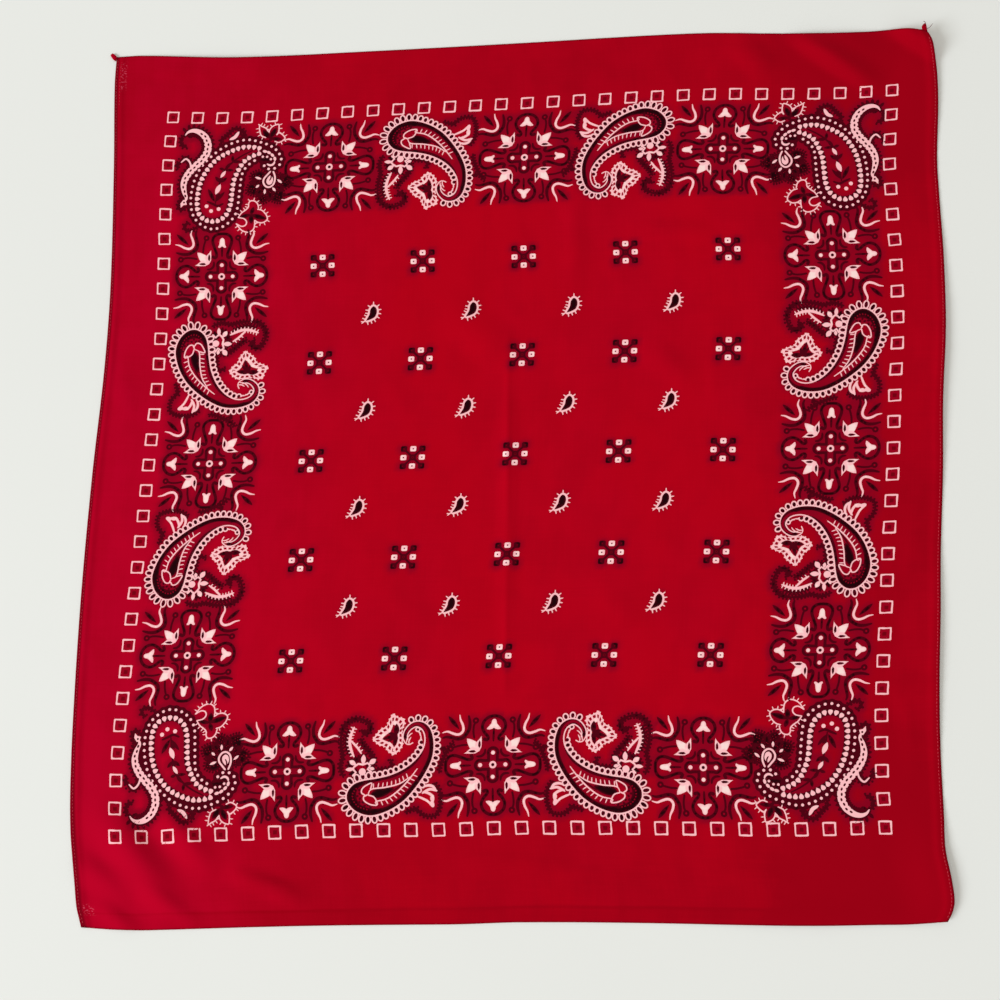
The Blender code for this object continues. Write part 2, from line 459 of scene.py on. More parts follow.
def ribbon(line, width, tip=1.0):
    """A stroke along an open line, narrowing to this share of its width at both ends."""
    along = np.linspace(-1, 1, len(line))
    half = width / 2 * (1 - (1 - tip) * np.abs(along) ** 3)
    way = ways(line)
    left, right = line + 1j * half * way, line - 1j * half * way
    start, end = line[0] - way[0] * half[0], line[-1] + way[-1] * half[-1]
    return np.concatenate([[start], right, [end], left[::-1]])


def along_line(line, gap, margin=0.0):
    """Spots this far apart on an open line, each with the line's direction there."""
    run = np.concatenate([[0], np.cumsum(np.abs(np.diff(line)))])
    count = max(1, round((run[-1] - 2 * margin) / gap))
    at = margin + (np.arange(count) + 0.5) * (run[-1] - 2 * margin) / count
    spots, ahead, behind = (
        np.interp(at + aside, run, line.real) + 1j * np.interp(at + aside, run, line.imag)
        for aside in (0.0, 0.1, -0.1)
    )
    way = ahead - behind
    return list(zip(spots, way / np.abs(way)))


def pair(point):
    """The two coordinates of a complex number."""
    return point.real, point.imag


def inside(points, outline):
    """Which of the points an outline winds round."""
    a, b = outline[None], np.roll(outline, -1)[None]
    p = points[:, None]
    left = ((b - a).conjugate() * (p - a)).imag
    up = (a.imag <= p.imag) & (p.imag < b.imag) & (left > 0)
    down = (b.imag <= p.imag) & (p.imag < a.imag) & (left < 0)
    return up.sum(axis=1) != down.sum(axis=1)


class Stencil:
    """A motif's shapes, in the order in which they are laid over each other."""

    def __init__(self):
        self.patches = []

    def fill(self, ink, *outlines):
        """Areas of one ink, each spread by what its ink spreads."""
        for outline in outlines:
            way = np.roll(outline, -1) - np.roll(outline, 1)
            around = (outline.conjugate() * way).imag.sum()
            way = way / np.maximum(np.abs(way), 1e-9) * np.sign(around)
            self.patches.append(Patch(ink, outline - 1j * way * SPREAD[ink]))

    def stroke(self, ink, places, width, tip=1.0):
        """A smooth stroke through these places."""
        self.fill(ink, ribbon(through(places), width, tip))

    def leaves(self, ink, entries, belly=0.5):
        """Leaves of one ink, each with its foot, its tip and its width."""
        for foot, tip, width in entries:
            self.fill(ink, leaf(foot, tip, width, belly))

    def ring(self, ink, centre, radius, width, heart):
        """A round line of one ink with a heart of another."""
        self.fill(ink, oval(centre, radius + width / 2))
        self.fill(heart, oval(centre, radius - width / 2))

    def ticks(self, line, gap, length, width, side=1, lean=0.0, margin=0.0):
        """Short white strokes standing off one side of a line, this far clear of its ends."""
        for spot, way in along_line(line, gap, margin):
            out = side * 1j * way * cmath.rect(1, lean)
            tick = np.array([spot, spot + out * length * 0.6, spot + out * length])
            self.fill(WHITE, ribbon(tick, width, 0.7))

    def fringe(self, width, *places):
        """A dark stroke with lumps along both edges, LUMP_GAP apart."""
        line = through(places)
        for spot, way in along_line(line, LUMP_GAP):
            for side, shift in ((1, 0.0), (-1, LUMP_GAP / 2)):
                centre = spot + way * shift + side * 1j * way * (width / 2 + 0.3)
                self.fill(DARK, oval(pair(centre), LUMP))
        self.fill(DARK, ribbon(line, width, 0.5))

    def scallops(self, line, gap, reach, side, swell=0.0):
        """White loops with dark hearts along one side of a line, longer at its middle."""
        spots = along_line(line, gap)
        for ink in (WHITE, DARK):
            for i, (spot, way) in enumerate(spots):
                out = side * 1j * way
                long = reach * (1 + swell * math.sin(math.pi * (i + 0.5) / len(spots)))
                angle = math.degrees(cmath.phase(out))
                if ink == WHITE:
                    shape = oval(pair(spot + out * long * 0.45), long * 0.55, gap * 0.59, angle)
                else:
                    half = (long - 1.35) / 2
                    shape = oval(pair(spot + out * (0.4 + half)), half, gap * 0.30, angle)
                self.fill(ink, shape)

    def ladder(self, outer, inner, cells):
        """Deep red cells between two lines, with rungs left between them."""
        ends = [evenly(line, np.abs(np.diff(line)).sum() / cells) for line in (outer, inner)]
        for i in range(min(len(ends[0]), len(ends[1])) - 1):
            cell = []
            for along, across in ((0.22, 0.28), (0.78, 0.28), (0.78, 0.72), (0.22, 0.72)):
                a, b = (end[i] + (end[i + 1] - end[i]) * along for end in ends)
                cell.append(a + (b - a) * across)
            self.fill(SHADE, np.array(cell))

    def add(self, other, turn=0.0, mirror=False, shift=(0.0, 0.0)):
        """Another stencil's shapes, mirrored across x first, then turned and shifted."""
        spin = cmath.rect(1, math.radians(turn))
        for ink, outline in other.patches:
            if mirror:
                outline = -outline.conjugate()
            self.fill(ink, outline * spin + complex(*shift))

    def inks_at(self, places):
        """The ink that shows at each of these places: that of the patch laid last there."""
        owner = np.full(len(places), -1)
        for i, (_, outline) in enumerate(self.patches):
            near = (places.real > outline.real.min()) & (places.real < outline.real.max())
            near &= (places.imag > outline.imag.min()) & (places.imag < outline.imag.max())
            near = np.nonzero(near)[0]
            owner[near[inside(places[near], outline)]] = i
        return np.array([BARE] + [patch.ink for patch in self.patches])[owner + 1]

    def cut(self, grain, turn=0.0, wide=1.0, tall=1.0):
        """For each ink its points, how near an edge each lies, and its triangles.

        The stencil is turned by so many degrees, and stretched a little across and up.
        """
        places, sides, edge = [], [], []
        for ink, outline in self.patches:
            start, count = len(places), len(outline)
            edge += [DOT_RIM if ink == BARE and count <= 8 else 1.0] * count
            sides += [(start + i, start + (i + 1) % count) for i in range(count)]
            places += [Vector(pair(p)) for p in outline]
        rim = len(places)
        reach = max(max(abs(p.x), abs(p.y)) for p in places)
        rows = range(-math.ceil(reach / grain), math.ceil(reach / grain) + 1)
        inner = [Vector((i * grain, j * grain + i % 2 * grain / 2)) for i in rows for j in rows]
        near = KDTree(rim)
        for i, place in enumerate(places):
            near.insert((place.x, place.y, 0), i)
        near.balance()
        places += [p for p in inner if near.find((p.x, p.y, 0))[2] > grain * 0.5]
        found = delaunay_2d_cdt(places, sides, [], 0, 1e-4, True)
        spots = np.array([complex(*v) for v in found[0]])
        edge += [0.0] * (len(places) - rim)
        at_rim = np.array([max((edge[i] for i in ids), default=1.0) for ids in found[3]])
        triangles = np.array(found[2])
        inks = self.inks_at(spots[triangles].mean(axis=1))
        spots = spots.real * wide + 1j * spots.imag * tall
        spots = spots * cmath.rect(1, math.radians(turn))
        return {
            ink: (spots, at_rim, triangles[inks == ink]) for ink in set(inks.tolist()) - {BARE}
        }


# ---------------------------------------------------------------------------------------
# The motifs of the print


def ring_square(side, wobble):
    """A square of the outer row: a white line, a deep red field and a darker heart."""
    motif = Stencil()
    half = side / 2

    def box(half_side, loose):
        """A square with slightly shaky sides."""
        corners = [(-1, -1), (1, -1), (1, 1), (-1, 1)]
        places = []
        for i, (x, y) in enumerate(corners):
            after = corners[(i + 1) % 4]
            for t in (0.06, 0.35, 0.65, 0.94):
                px = x + (after[0] - x) * t + loose * wobble.uniform(-1, 1)
                py = y + (after[1] - y) * t + loose * wobble.uniform(-1, 1)
                places.append(complex(px, py) * half_side)
        return np.array(places)

    turn = cmath.rect(1, math.radians(wobble.uniform(-2.0, 2.0)))
    motif.fill(WHITE, box(half, 0.035) * turn)
    motif.fill(SHADE, box(half - 1.09, 0.05) * turn)
    heart = (wobble.uniform(-0.25, 0.25), wobble.uniform(-0.25, 0.25))
    motif.fill(SPOT, box(1.15, 0.12) * turn + complex(*heart))
    return motif


def nine_check():
    """Nine small squares in a block, white and dark by turns."""
    motif = Stencil()
    step_x, step_y, half = 5.7, 5.5, 1.9

    def block(x, y, half_x, half_y):
        """A square with its corners cut off."""
        corner = 0.6
        places = []
        for sx, sy in ((1, 1), (-1, 1), (-1, -1), (1, -1)):
            first, second = (half_x, half_y - corner), (half_x - corner, half_y)
            order = (first, second) if sx * sy > 0 else (second, first)
            places += [complex(x + sx * px, y + sy * py) for px, py in order]
        return np.array(places)

    for sx, sy in ((1, 1), (-1, -1)):
        for t in (-1, 1):
            line = [(0, 0), (sx * step_x * 0.9, sy * t * step_y * 0.9)]
            motif.stroke(DARK, line, 1.2)
    motif.fill(DARK, block(0, 0, 1.95, 1.85))
    motif.ring(SPOT, (0, 0), 0.65, 0.35, DARK)
    for i, j in ((1, 1), (1, -1), (-1, 1), (-1, -1)):
        motif.fill(DARK, block(i * step_x, j * step_y, half, half * 0.95))
        motif.fill(SPOT, oval((i * step_x, j * step_y), 0.35))
    for i, j in ((1, 0), (-1, 0), (0, 1), (0, -1)):
        motif.fill(WHITE, block(i * step_x, j * step_y, half + 0.05, half - 0.15))
        motif.fill(DARK, oval((i * step_x, j * step_y), 0.42))
    return motif


def small_paisley():
    """A little drop with short rays all round it."""
    motif = Stencil()
    core = through(
        [(-3.7, -4.8), (-1.9, -0.6), (-1.3, 2.8), (0.7, 5.0), (2.9, 3.6), (3.4, 0.4), (1.7, -3.0)],
        closed=True,
        step=0.5,
    )
    loop = np.concatenate([core, core[:1]])
    way = ways(loop)
    edge = loop + 1j * way * 0.1
    for spot, direction in along_line(edge, 2.05):
        out = 1j * direction
        tick = np.array([spot, spot + out * 1.2, spot + out * 2.3])
        motif.fill(WHITE, ribbon(tick, 0.95, 0.8))
    motif.fill(WHITE, (loop + 1j * way * 0.95)[:-1])
    motif.stroke(WHITE, [(-3.4, -4.2), (-5.2, -5.2), (-6.6, -5.0)], 0.9, 0.8)
    motif.stroke(WHITE, [(-4.2, -4.6), (-6.2, -6.2)], 0.9, 0.8)
    motif.fill(DARK, (loop - 1j * way * 0.4)[:-1])
    return motif


# One arm of the medallion, going out along +x: its dot, the horseshoe round its bell as
# places on one half, the bell's foot, flare and crown, and where its stem begins.
Arm = namedtuple("Arm", "dot horseshoe bell_foot bell_flare bell_crown stem_foot")
SIDE_ARM = Arm(
    7.5,
    [
        (12.9, 5.6), (12.2, 4.5), (13.0, 3.6), (15.2, 3.6), (18.6, 4.8), (22.2, 6.0),
        (25.4, 5.8), (27.6, 3.4), (28.1, 0.0),
    ],
    19.0,
    2.7,
    25.6,
    13.2,
)
UPRIGHT_ARM = Arm(
    7.1,
    [
        (15.2, 5.2), (14.7, 4.0), (15.6, 3.1), (17.2, 3.7), (19.2, 5.5), (22.4, 6.9),
        (25.8, 6.1), (28.2, 3.5), (29.0, 0.0),
    ],
    21.0,
    4.3,
    27.4,
    14.0,
)


def medallion_arm(arm):
    """A horseshoe open to the middle, with a stem and a bell in it."""
    motif = Stencil()
    whole = arm.horseshoe + [(x, -y) for x, y in reversed(arm.horseshoe[:-1])]
    motif.stroke(DARK, whole, 1.65)
    for foot in (arm.horseshoe[0], whole[-1]):
        motif.fill(DARK, oval(foot, 0.95))
    motif.stroke(DARK, [(arm.stem_foot, 0), (arm.bell_foot + 0.5, 0)], 1.1, 0.6)
    foot, flare, crown = arm.bell_foot, arm.bell_flare, arm.bell_crown
    half = [
        (crown, 0.0),
        (crown - 0.35, 0.95),
        (crown - 1.3, 1.55),
        (crown - 2.9, 1.85),
        (foot + 1.9, 0.75 * flare),
        (foot + 0.7, flare),
        (foot - 0.1, flare * 0.95),
        (foot - 0.3, flare * 0.55),
        (foot + 0.1, 0.9),
        (foot + 0.7, 0.0),
    ]
    bell_shape = half + [(x, -y) for x, y in reversed(half[1:-1])]
    motif.fill(WHITE, straight(bell_shape))
    return motif


def lily():
    """A lily going out along +x from the medallion's middle."""
    motif = Stencil()
    for side in (1, -1):
        petal = [
            (11.4, 0.0), (12.3, 2.8), (14.3, 4.9), (16.8, 7.1), (17.5, 7.3), (17.1, 5.2),
            (17.0, 2.6), (16.0, 1.0), (13.0, -0.6),
        ]
        motif.fill(WHITE, straight((x, side * y) for x, y in petal))
        slit = [(12.9, 1.5), (13.6, 2.9), (15.1, 4.1), (16.2, 4.6), (15.4, 3.0), (14.2, 1.7)]
        motif.fill(DARK, straight((x, side * y) for x, y in slit))
    crown = [
        (11.6, 0), (14.6, 1.6), (17.0, 2.9), (19.5, 2.1), (21.2, 1.3), (22.7, 0.1),
        (21.2, -1.3), (19.5, -2.1), (17.0, -2.9), (14.6, -1.6),
    ]
    motif.fill(WHITE, straight(crown))
    return motif


def medallion_quarter():
    """What lies between two arms: curls and buds round a lily."""
    motif = Stencil()
    motif.stroke(DARK, [(4.7, 9.2), (4.9, 7.2), (6.4, 5.5), (8.2, 5.1), (9.6, 5.2)], 1.3, 0.5)
    motif.stroke(DARK, [(11.5, 16.2), (12.1, 19.5), (12.1, 23.0), (11.4, 25.2)], 1.0)
    motif.stroke(DARK, [(15.8, 12.2), (19.0, 12.0), (22.2, 11.3), (24.0, 10.7)], 1.0)
    for centre in ((11.0, 26.5), (25.3, 10.2)):
        motif.ring(DARK, centre, 1.15, 1.3, SHADE)
    shadow = [
        (15.4, 29.4), (14.5, 25.4), (14.7, 21.6), (16.3, 18.6), (18.2, 16.5), (21.2, 15.9),
        (24.4, 16.6), (28.0, 17.2), (30.2, 16.6),
    ]
    motif.stroke(DARK, shadow, 1.9, 0.45)
    bud = [
        (20.8, 30.2), (20.2, 27.3), (18.7, 24.2), (18.2, 21.2), (19.4, 19.2), (21.6, 18.5),
        (24.6, 19.3), (27.6, 20.4), (30.6, 19.7),
    ]
    motif.stroke(WHITE, bud, 1.85, 0.45)
    motif.fill(DARK, leaf((20.7, 21.7), (27.5, 29.5), 2.2, 0.55))
    motif.add(lily(), 45)
    return motif


def medallion():
    """The round figure between the paisleys: a cross, four bells and four lilies."""
    motif = Stencil()
    arms = ((SIDE_ARM, 0), (UPRIGHT_ARM, 90), (SIDE_ARM, 180), (UPRIGHT_ARM, 270))
    for ink, grow in ((DARK, 0.85), (BARE, -0.85)):
        for arm, turn in arms[:2]:
            spin = cmath.rect(1, math.radians(turn))
            bar = through([(-arm.dot - 0.2, 0), (arm.dot + 0.2, 0)])
            motif.fill(ink, ribbon(bar, 2 * (2.55 + grow)) * spin)
            for side in (1, -1):
                end = pair(complex(side * arm.dot, 0) * spin)
                motif.fill(ink, oval(end, 2.85 + grow))
    motif.ring(WHITE, (0, 0), 1.6, 1.3, DARK)
    for arm, turn in arms:
        motif.fill(WHITE, oval(pair(cmath.rect(arm.dot, math.radians(turn))), 1.3))
    for arm, turn in arms:
        motif.add(medallion_arm(arm), turn)
    quarter = medallion_quarter()
    for mirror in (False, True):
        for turn in (0, 180):
            motif.add(quarter, turn, mirror)
    return motif


# The side paisley: the line round its body from the hook of its tail over its back, round
# its head and along its belly to the tail again.
HOOK = [(11.6, -12.6), (9.6, -11.6), (7.4, -12.2)]
BACK = [
    (5.5, -15.4), (6.0, -19.6), (8.9, -23.6), (12.8, -25.4), (17.6, -24.6), (21.8, -20.6),
    (24.2, -13.0), (23.9, -4.0), (20.3, 5.2), (14.4, 14.4), (7.8, 21.7), (-1.2, 27.4),
]
HEAD = [
    (-11.2, 30.2), (-19.8, 28.0), (-25.0, 22.8), (-25.6, 17.2), (-22.2, 12.3), (-16.8, 9.9),
]
BELLY = [
    (-7.8, 8.2), (0.2, 6.0), (7.7, 2.2), (13.6, -2.8), (17.6, -8.8), (18.6, -14.6),
    (16.9, -19.8), (13.2, -22.0), (9.8, -20.2),
]
TAIL_END = [(8.1, -17.2), (8.5, -14.4)]

# The side paisley's fringes: the width of each, then its places.
SIDE_FRINGES = (
    (1.5, (8.8, 27.4), (12.6, 26.2), (15.6, 25.2), (17.0, 26.6), (19.6, 28.8), (23.4, 29.6)),
    (1.5, (23.4, 29.6), (27.2, 28.6), (29.2, 24.6), (29.8, 19.0), (28.4, 13.6), (25.6, 10.4)),
    (1.6, (28.2, 4.6), (28.6, 0.6), (30.4, -4.2), (32.6, -9.6), (35.8, -13.4)),
    (1.3, (31.8, -9.6), (29.4, -9.2), (28.2, -10.4)),
    (1.8, (-28.0, 8.4), (-30.4, 2.0), (-29.2, -3.4), (-30.8, -9.4), (-31.4, -15.4)),
    (2.3, (-31.4, -15.4), (-30.2, -21.4), (-25.0, -25.6), (-19.2, -25.6)),
    (2.2, (-19.2, -25.6), (-14.6, -22.6), (-14.8, -18.6), (-17.6, -17.0), (-19.4, -19.4)),
    (1.6, (-13.6, 5.4), (-9.8, 4.0), (-5.0, 3.2), (-0.8, 2.6), (0.2, 0.4), (-1.0, -2.6)),
    (2.2, (-10.4, 2.2), (-10.6, -2.4), (-13.4, -6.4), (-17.2, -10.4), (-19.6, -14.2)),
    (2.6, (-24.4, 6.6), (-21.0, 5.4), (-14.8, 6.6), (-12.6, 3.4), (-14.6, -2.6)),
    (2.6, (-25.8, 4.0), (-24.2, 0.0), (-20.0, -2.4), (-15.4, -3.4)),
    (1.7, (-24.8, -4.2), (-27.2, -9.0), (-28.2, -14.6), (-27.2, -19.6)),
)


def side_paisley():
    """The paisley of the border's straight runs, its head to the upper left."""
    motif = Stencil()
    for width, *places in SIDE_FRINGES:
        motif.fringe(width, *places)
    side_body(motif)
    side_veins(motif)
    side_pod(motif)
    side_sprays(motif)
    return motif


def side_body(motif):
    """The body with its bare field, its dotted head and the loops all round it."""
    outline = through(HOOK + BACK + HEAD + BELLY + TAIL_END)
    motif.scallops(through(BACK[2:]), 3.3, 4.1, -1)
    motif.scallops(through(BACK[-1:] + HEAD + BELLY[:1]), 3.4, 4.0, -1, 0.3)
    motif.scallops(through(BELLY[:-3]), 3.4, 3.8, -1)
    motif.scallops(through(BELLY[-4:-1]), 2.8, 2.7, -1)
    motif.fill(DARK, through(BACK + HEAD + BELLY + TAIL_END, closed=True))
    field = [
        (15.6, -20.0), (20.4, -16.0), (21.4, -6.4), (17.6, 4.0), (11.7, 13.0), (4.8, 20.4),
        (-3.2, 24.9), (-11.0, 25.8), (-17.4, 23.6), (-19.8, 19.0), (-18.8, 14.6), (-13.8, 11.8),
        (-5.6, 9.9), (2.4, 7.5), (9.6, 3.4), (15.0, -1.6), (18.2, -9.0),
    ]
    motif.fill(BARE, through(field, closed=True))
    tail = [(18.4, -12.0), (19.6, -17.6), (16.8, -22.2), (12.6, -23.8), (9.0, -21.6), (7.0, -17.8)]
    motif.stroke(BARE, tail, 1.5, 0.3)
    band = through([(-12.6, 27.2), (-18.6, 25.4), (-22.0, 21.6), (-22.4, 17.4), (-19.8, 13.8)])
    for spot, way in along_line(band, 1.9):
        motif.fill(BARE, oval(pair(spot + 0.5j * way), 0.55, 0.4, 30))
    edge = through([(-8.6, 25.0), (-14.4, 24.2), (-18.0, 21.6), (-18.8, 17.6), (-16.4, 13.6)])
    for i, (spot, way) in enumerate(along_line(edge, 1.7)):
        motif.fill(DARK, oval(pair(spot + (0.9 - 1.3 * (i % 2)) * 1j * way), 0.85, 0.6, 50 * i))
    motif.fill(WHITE, ribbon(outline, 1.05, 0.8))


def side_veins(motif):
    """The leaf in the body: two ticked veins, and two loops where they meet."""
    back = [
        (-7.6, 23.6), (-8.2, 21.9), (-2.8, 20.5), (1.6, 18.0), (6.6, 13.6), (11.2, 8.2),
        (15.3, 2.4),
    ]
    back_vein = through(back)
    low_vein = through([(-13.0, 18.2), (-11.0, 14.9), (-2.7, 13.6), (5.3, 11.3), (11.2, 7.4)])
    motif.fill(DARK, leaf((-11.6, 18.6), (2.2, 14.2), 5.4, 0.42))
    motif.stroke(DARK, [(0.4, 16.6), (5.2, 13.0), (9.4, 9.2)], 0.8, 0.5)
    motif.ticks(back_vein[5:-4], 2.6, 2.9, 0.85, 1, -0.25)
    motif.ticks(low_vein[5:], 2.6, 2.9, 0.85, -1, 0.25)
    motif.fill(WHITE, ribbon(back_vein, 1.0, 0.7), ribbon(low_vein, 1.0, 0.7))
    for loop in (
        [(-12.8, 18.3), (-9.6, 19.2), (-7.8, 21.6), (-7.4, 23.8), (-11.4, 23.6), (-15.0, 21.6)],
        [(-11.6, 14.9), (-11.0, 11.4), (-14.0, 12.6), (-16.4, 14.6), (-16.8, 17.0), (-14.8, 18.4)],
    ):
        motif.stroke(WHITE, loop + [(-15.4, 19.2), (-13.4, 18.2)], 0.95)


def side_pod(motif):
    """The pod in the curl of the tail: a white rim with deep red cells, and dark leaves."""
    rim = [
        (-12.6, -14.0), (-8.6, -10.8), (-4.6, -9.8), (-2.8, -7.2), (0.7, -5.0), (3.8, -7.4),
        (5.8, -10.8), (5.4, -16.4), (4.6, -20.0), (6.0, -24.0), (5.0, -26.9), (1.6, -27.4),
        (-1.9, -29.6), (-3.9, -25.4), (-4.9, -21.8), (-8.3, -20.2), (-10.4, -17.3),
    ]
    heart = [
        (-8.2, -14.4), (-5.6, -13.2), (-2.6, -12.4), (-0.6, -10.8), (0.7, -8.8), (2.0, -10.4),
        (2.8, -12.6), (2.7, -16.6), (2.2, -20.2), (2.6, -22.4), (1.6, -23.8), (-0.2, -24.4),
        (-1.4, -24.8), (-1.9, -22.2), (-2.8, -19.6), (-5.2, -17.8), (-7.2, -16.0),
    ]
    outer, inner = (straight(places + places[:1]) for places in (rim, heart))
    motif.fill(WHITE, outer[:-1])
    for spot, _ in along_line(outer, 2.4):
        motif.fill(WHITE, oval(pair(spot), 0.6))
    motif.ladder(outer, inner, 19)
    motif.fill(SHADE, (inner * 0.86 + outer * -0.02 + complex(0.1, -2.2))[:-1])
    motif.fill(WHITE, oval((0.9, -8.0), 0.9))
    tips = (
        ((-6.6, -14.2), 2.2), ((-3.4, -12.6), 1.8), ((0.6, -10.2), 2.4), ((2.3, -13.4), 1.4),
        ((1.0, -23.6), 3.2), ((-3.4, -18.0), 2.0),
    )
    motif.leaves(DARK, [((1.5, -16.8), *tip) for tip in tips], 0.45)
    motif.stroke(WHITE, [(7.8, -12.6), (8.2, -15.4), (9.8, -17.6), (10.8, -18.2)], 0.9, 0.7)
    motif.stroke(WHITE, [(9.4, -11.8), (9.2, -13.6), (10.2, -15.8)], 0.9, 0.6)


def side_sprays(motif):
    """Outside the body: a spray at its back, a flower below its head and its ticked stem."""
    motif.stroke(WHITE, [(15.8, 18.2), (19.2, 19.4), (22.4, 21.0), (24.8, 23.6)], 1.5, 0.6)
    motif.fill(WHITE, oval((24.9, 22.4), 2.0, 1.3, 70), oval((24.8, 18.8), 1.2, 1.9, 10))
    for stamen in (
        [(25.2, 21.6), (25.2, 18.4), (22.8, 16.4), (19.4, 15.6)],
        [(19.0, 16.4), (21.4, 14.8), (23.8, 14.0), (27.4, 14.8)],
        [(19.6, 12.6), (22.4, 11.8), (25.0, 12.4), (26.8, 14.4)],
    ):
        motif.stroke(WHITE, stamen, 1.7, 0.6)

    star = [
        (-22.4, 7.4), (-20.8, 5.4), (-23.0, 3.4), (-21.4, 1.6), (-19.6, 0.4), (-16.8, 0.8),
        (-14.2, -0.2), (-12.6, 1.4), (-14.0, 3.4), (-11.6, 5.0),
    ]
    motif.fill(WHITE, ribbon(straight(star), 1.35))
    rays = (
        ((-21.4, 3.4), (-27.2, 4.0), 2.4),
        ((-20.8, 1.2), (-25.2, -1.4), 3.0),
        ((-16.8, 1.2), (-16.9, -5.2), 3.0),
        ((-13.6, 0.6), (-9.4, -2.6), 3.2),
        ((-13.4, 2.8), (-9.8, 3.2), 2.2),
    )
    motif.leaves(WHITE, rays, 0.55)
    motif.fill(WHITE, oval((-17.0, 5.0), 2.15))

    stem = through([(-22.6, -3.6), (-24.6, -7.6), (-25.8, -11.6), (-25.6, -16.0), (-24.0, -21.0)])
    branch = through([(-18.4, -5.6), (-20.6, -8.6), (-22.8, -10.8), (-25.2, -13.0)])
    for twig, side in ((stem, -1), (stem[11:], 1), (branch[:-4], 1)):
        motif.ticks(twig, 2.1, 1.9, 0.9, side, -0.2 * side)
    motif.fill(WHITE, ribbon(stem, 1.9, 0.5), ribbon(branch, 1.5, 0.6))


# The corner paisley's two rows of beads, each a line from the tail round the head and back.
BEADS = [
    (-23.0, -7.1), (-25.8, -3.6), (-30.0, -3.1), (-33.5, -5.2), (-34.5, -9.4), (-32.4, -13.8),
    (-28.4, -17.8), (-21.7, -21.2), (-12.4, -23.7), (-1.8, -21.3), (7.5, -15.3), (15.6, -6.4),
    (19.9, 4.2), (21.3, 16.1), (18.8, 26.5), (10.6, 33.2), (2.4, 32.8), (-4.1, 28.3),
    (-7.5, 22.0), (-9.0, 10.8), (-10.6, -1.4), (-14.5, -7.1), (-19.6, -10.4),
]
PETALS = [
    (-22.4, -16.6), (-16.0, -18.4), (-9.0, -18.4), (1.1, -14.6), (8.2, -9.0), (13.9, -0.2),
    (16.7, 10.1), (16.8, 21.2), (12.9, 27.1), (5.6, 28.6), (-0.4, 25.1), (-3.3, 18.3),
    (-4.2, 11.0), (-5.7, 1.5), (-10.4, -8.2), (-15.5, -12.3), (-22.4, -14.6),
]
INNER_FIELD = [
    (-12.0, -15.6), (-3.4, -15.0), (4.4, -9.6), (11.2, -1.4), (14.4, 9.6), (14.6, 20.0),
    (11.4, 25.0), (5.8, 26.4), (1.2, 23.4), (-1.2, 17.6), (-2.0, 9.6), (-3.6, 0.4),
    (-7.8, -8.4), (-12.4, -13.4),
]
TAIL_BEADS = ((-28.1, -9.5), (-25.7, -11.3), (-23.0, -11.6))
TAIL_DASHES = ((-24.2, -15.0, -20), (-26.7, -14.0, -38), (-28.9, -12.1, -50), (-30.5, -9.6, -78))
TAIL_HOOK = [(-25.8, -6.6), (-27.4, -5.6), (-29.0, -5.7), (-30.2, -6.8), (-30.4, -8.0)]
PLUME = [
    (25.6, 16.4), (24.1, 13.2), (25.4, 9.2), (25.9, 3.6), (23.7, -1.9), (20.0, -6.6),
    (15.9, -10.7), (12.5, -15.4), (11.5, -20.6), (13.1, -26.0), (16.8, -29.8), (21.0, -31.3),
    (24.4, -30.5), (26.3, -28.4),
]


def blossom(petals, plain, heart, sprigs):
    """White outlines, those of the petals with short rays outside, and dark leaves in them."""
    motif = Stencil()
    for places in petals:
        line = through(places, step=0.6)
        motif.ticks(line, 2.25, 2.0, 1.0, margin=0.7)
        motif.fill(WHITE, ribbon(line, 1.15, 0.9))
    for places in plain:
        motif.fill(WHITE, ribbon(through(places, step=0.6), 1.15, 0.9))
    motif.leaves(DARK, [(heart, *sprig) for sprig in sprigs])
    return motif


# The dark strokes round the corner paisley: the width of each, then its places.
CORNER_FRINGES = (
    (3.2, (21.4, -6.0), (22.4, -10.2), (25.2, -13.0), (28.4, -11.2)),
    (1.5, (26.6, -28.8), (29.0, -25.6), (27.8, -21.2), (24.8, -20.4)),
    (1.4, (28.2, -10.8), (30.6, -9.0), (29.8, -5.8)),
    (1.6, (23.4, 18.0), (27.0, 20.8), (29.2, 18.8), (28.0, 14.8)),
    (1.7, (3.0, -21.0), (3.4, -24.6), (0.0, -27.4), (-4.2, -31.6), (-8.6, -31.2)),
    (1.7, (-8.6, -31.2), (-11.0, -27.8), (-9.2, -24.8), (-5.4, -23.4)),
    (1.7, (-9.6, -28.6), (-6.0, -27.8), (-2.6, -24.4)),
)
# From one bead and from one petal to the next, in the two rows.
BEAD_GAP, PETAL_GAP = 3.75, 3.35
# The dark flower: the way each petal points, its length and its width.
FLOWER = (-27.2, 5.4)
FLOWER_PETALS = (
    (-27, 12.4, 9.0), (22, 14.6, 9.6), (72, 14.0, 9.4), (118, 15.6, 9.4), (174, 14.4, 9.0),
    (205, 8.4, 7.4),
)


def corner_paisley():
    """The big paisley of the lower right corner, with a plume beside it."""
    motif = Stencil()
    plume, beads, petals = through(PLUME), through(BEADS), through(PETALS)
    corner_ground(motif, plume, beads, petals)
    corner_rows(motif, beads, petals)
    corner_stem(motif)
    corner_plume(motif, plume)
    motif.stroke(WHITE, [(-2.0, -24.6), (-5.0, -26.0), (-7.2, -29.2)], 2.3, 0.5)
    motif.fringe(1.6, (17.4, 31.8), (20.4, 34.2), (24.4, 34.0), (25.2, 30.8), (22.4, 29.2))
    dark_flower(motif)
    corner_blossoms(motif)
    return motif


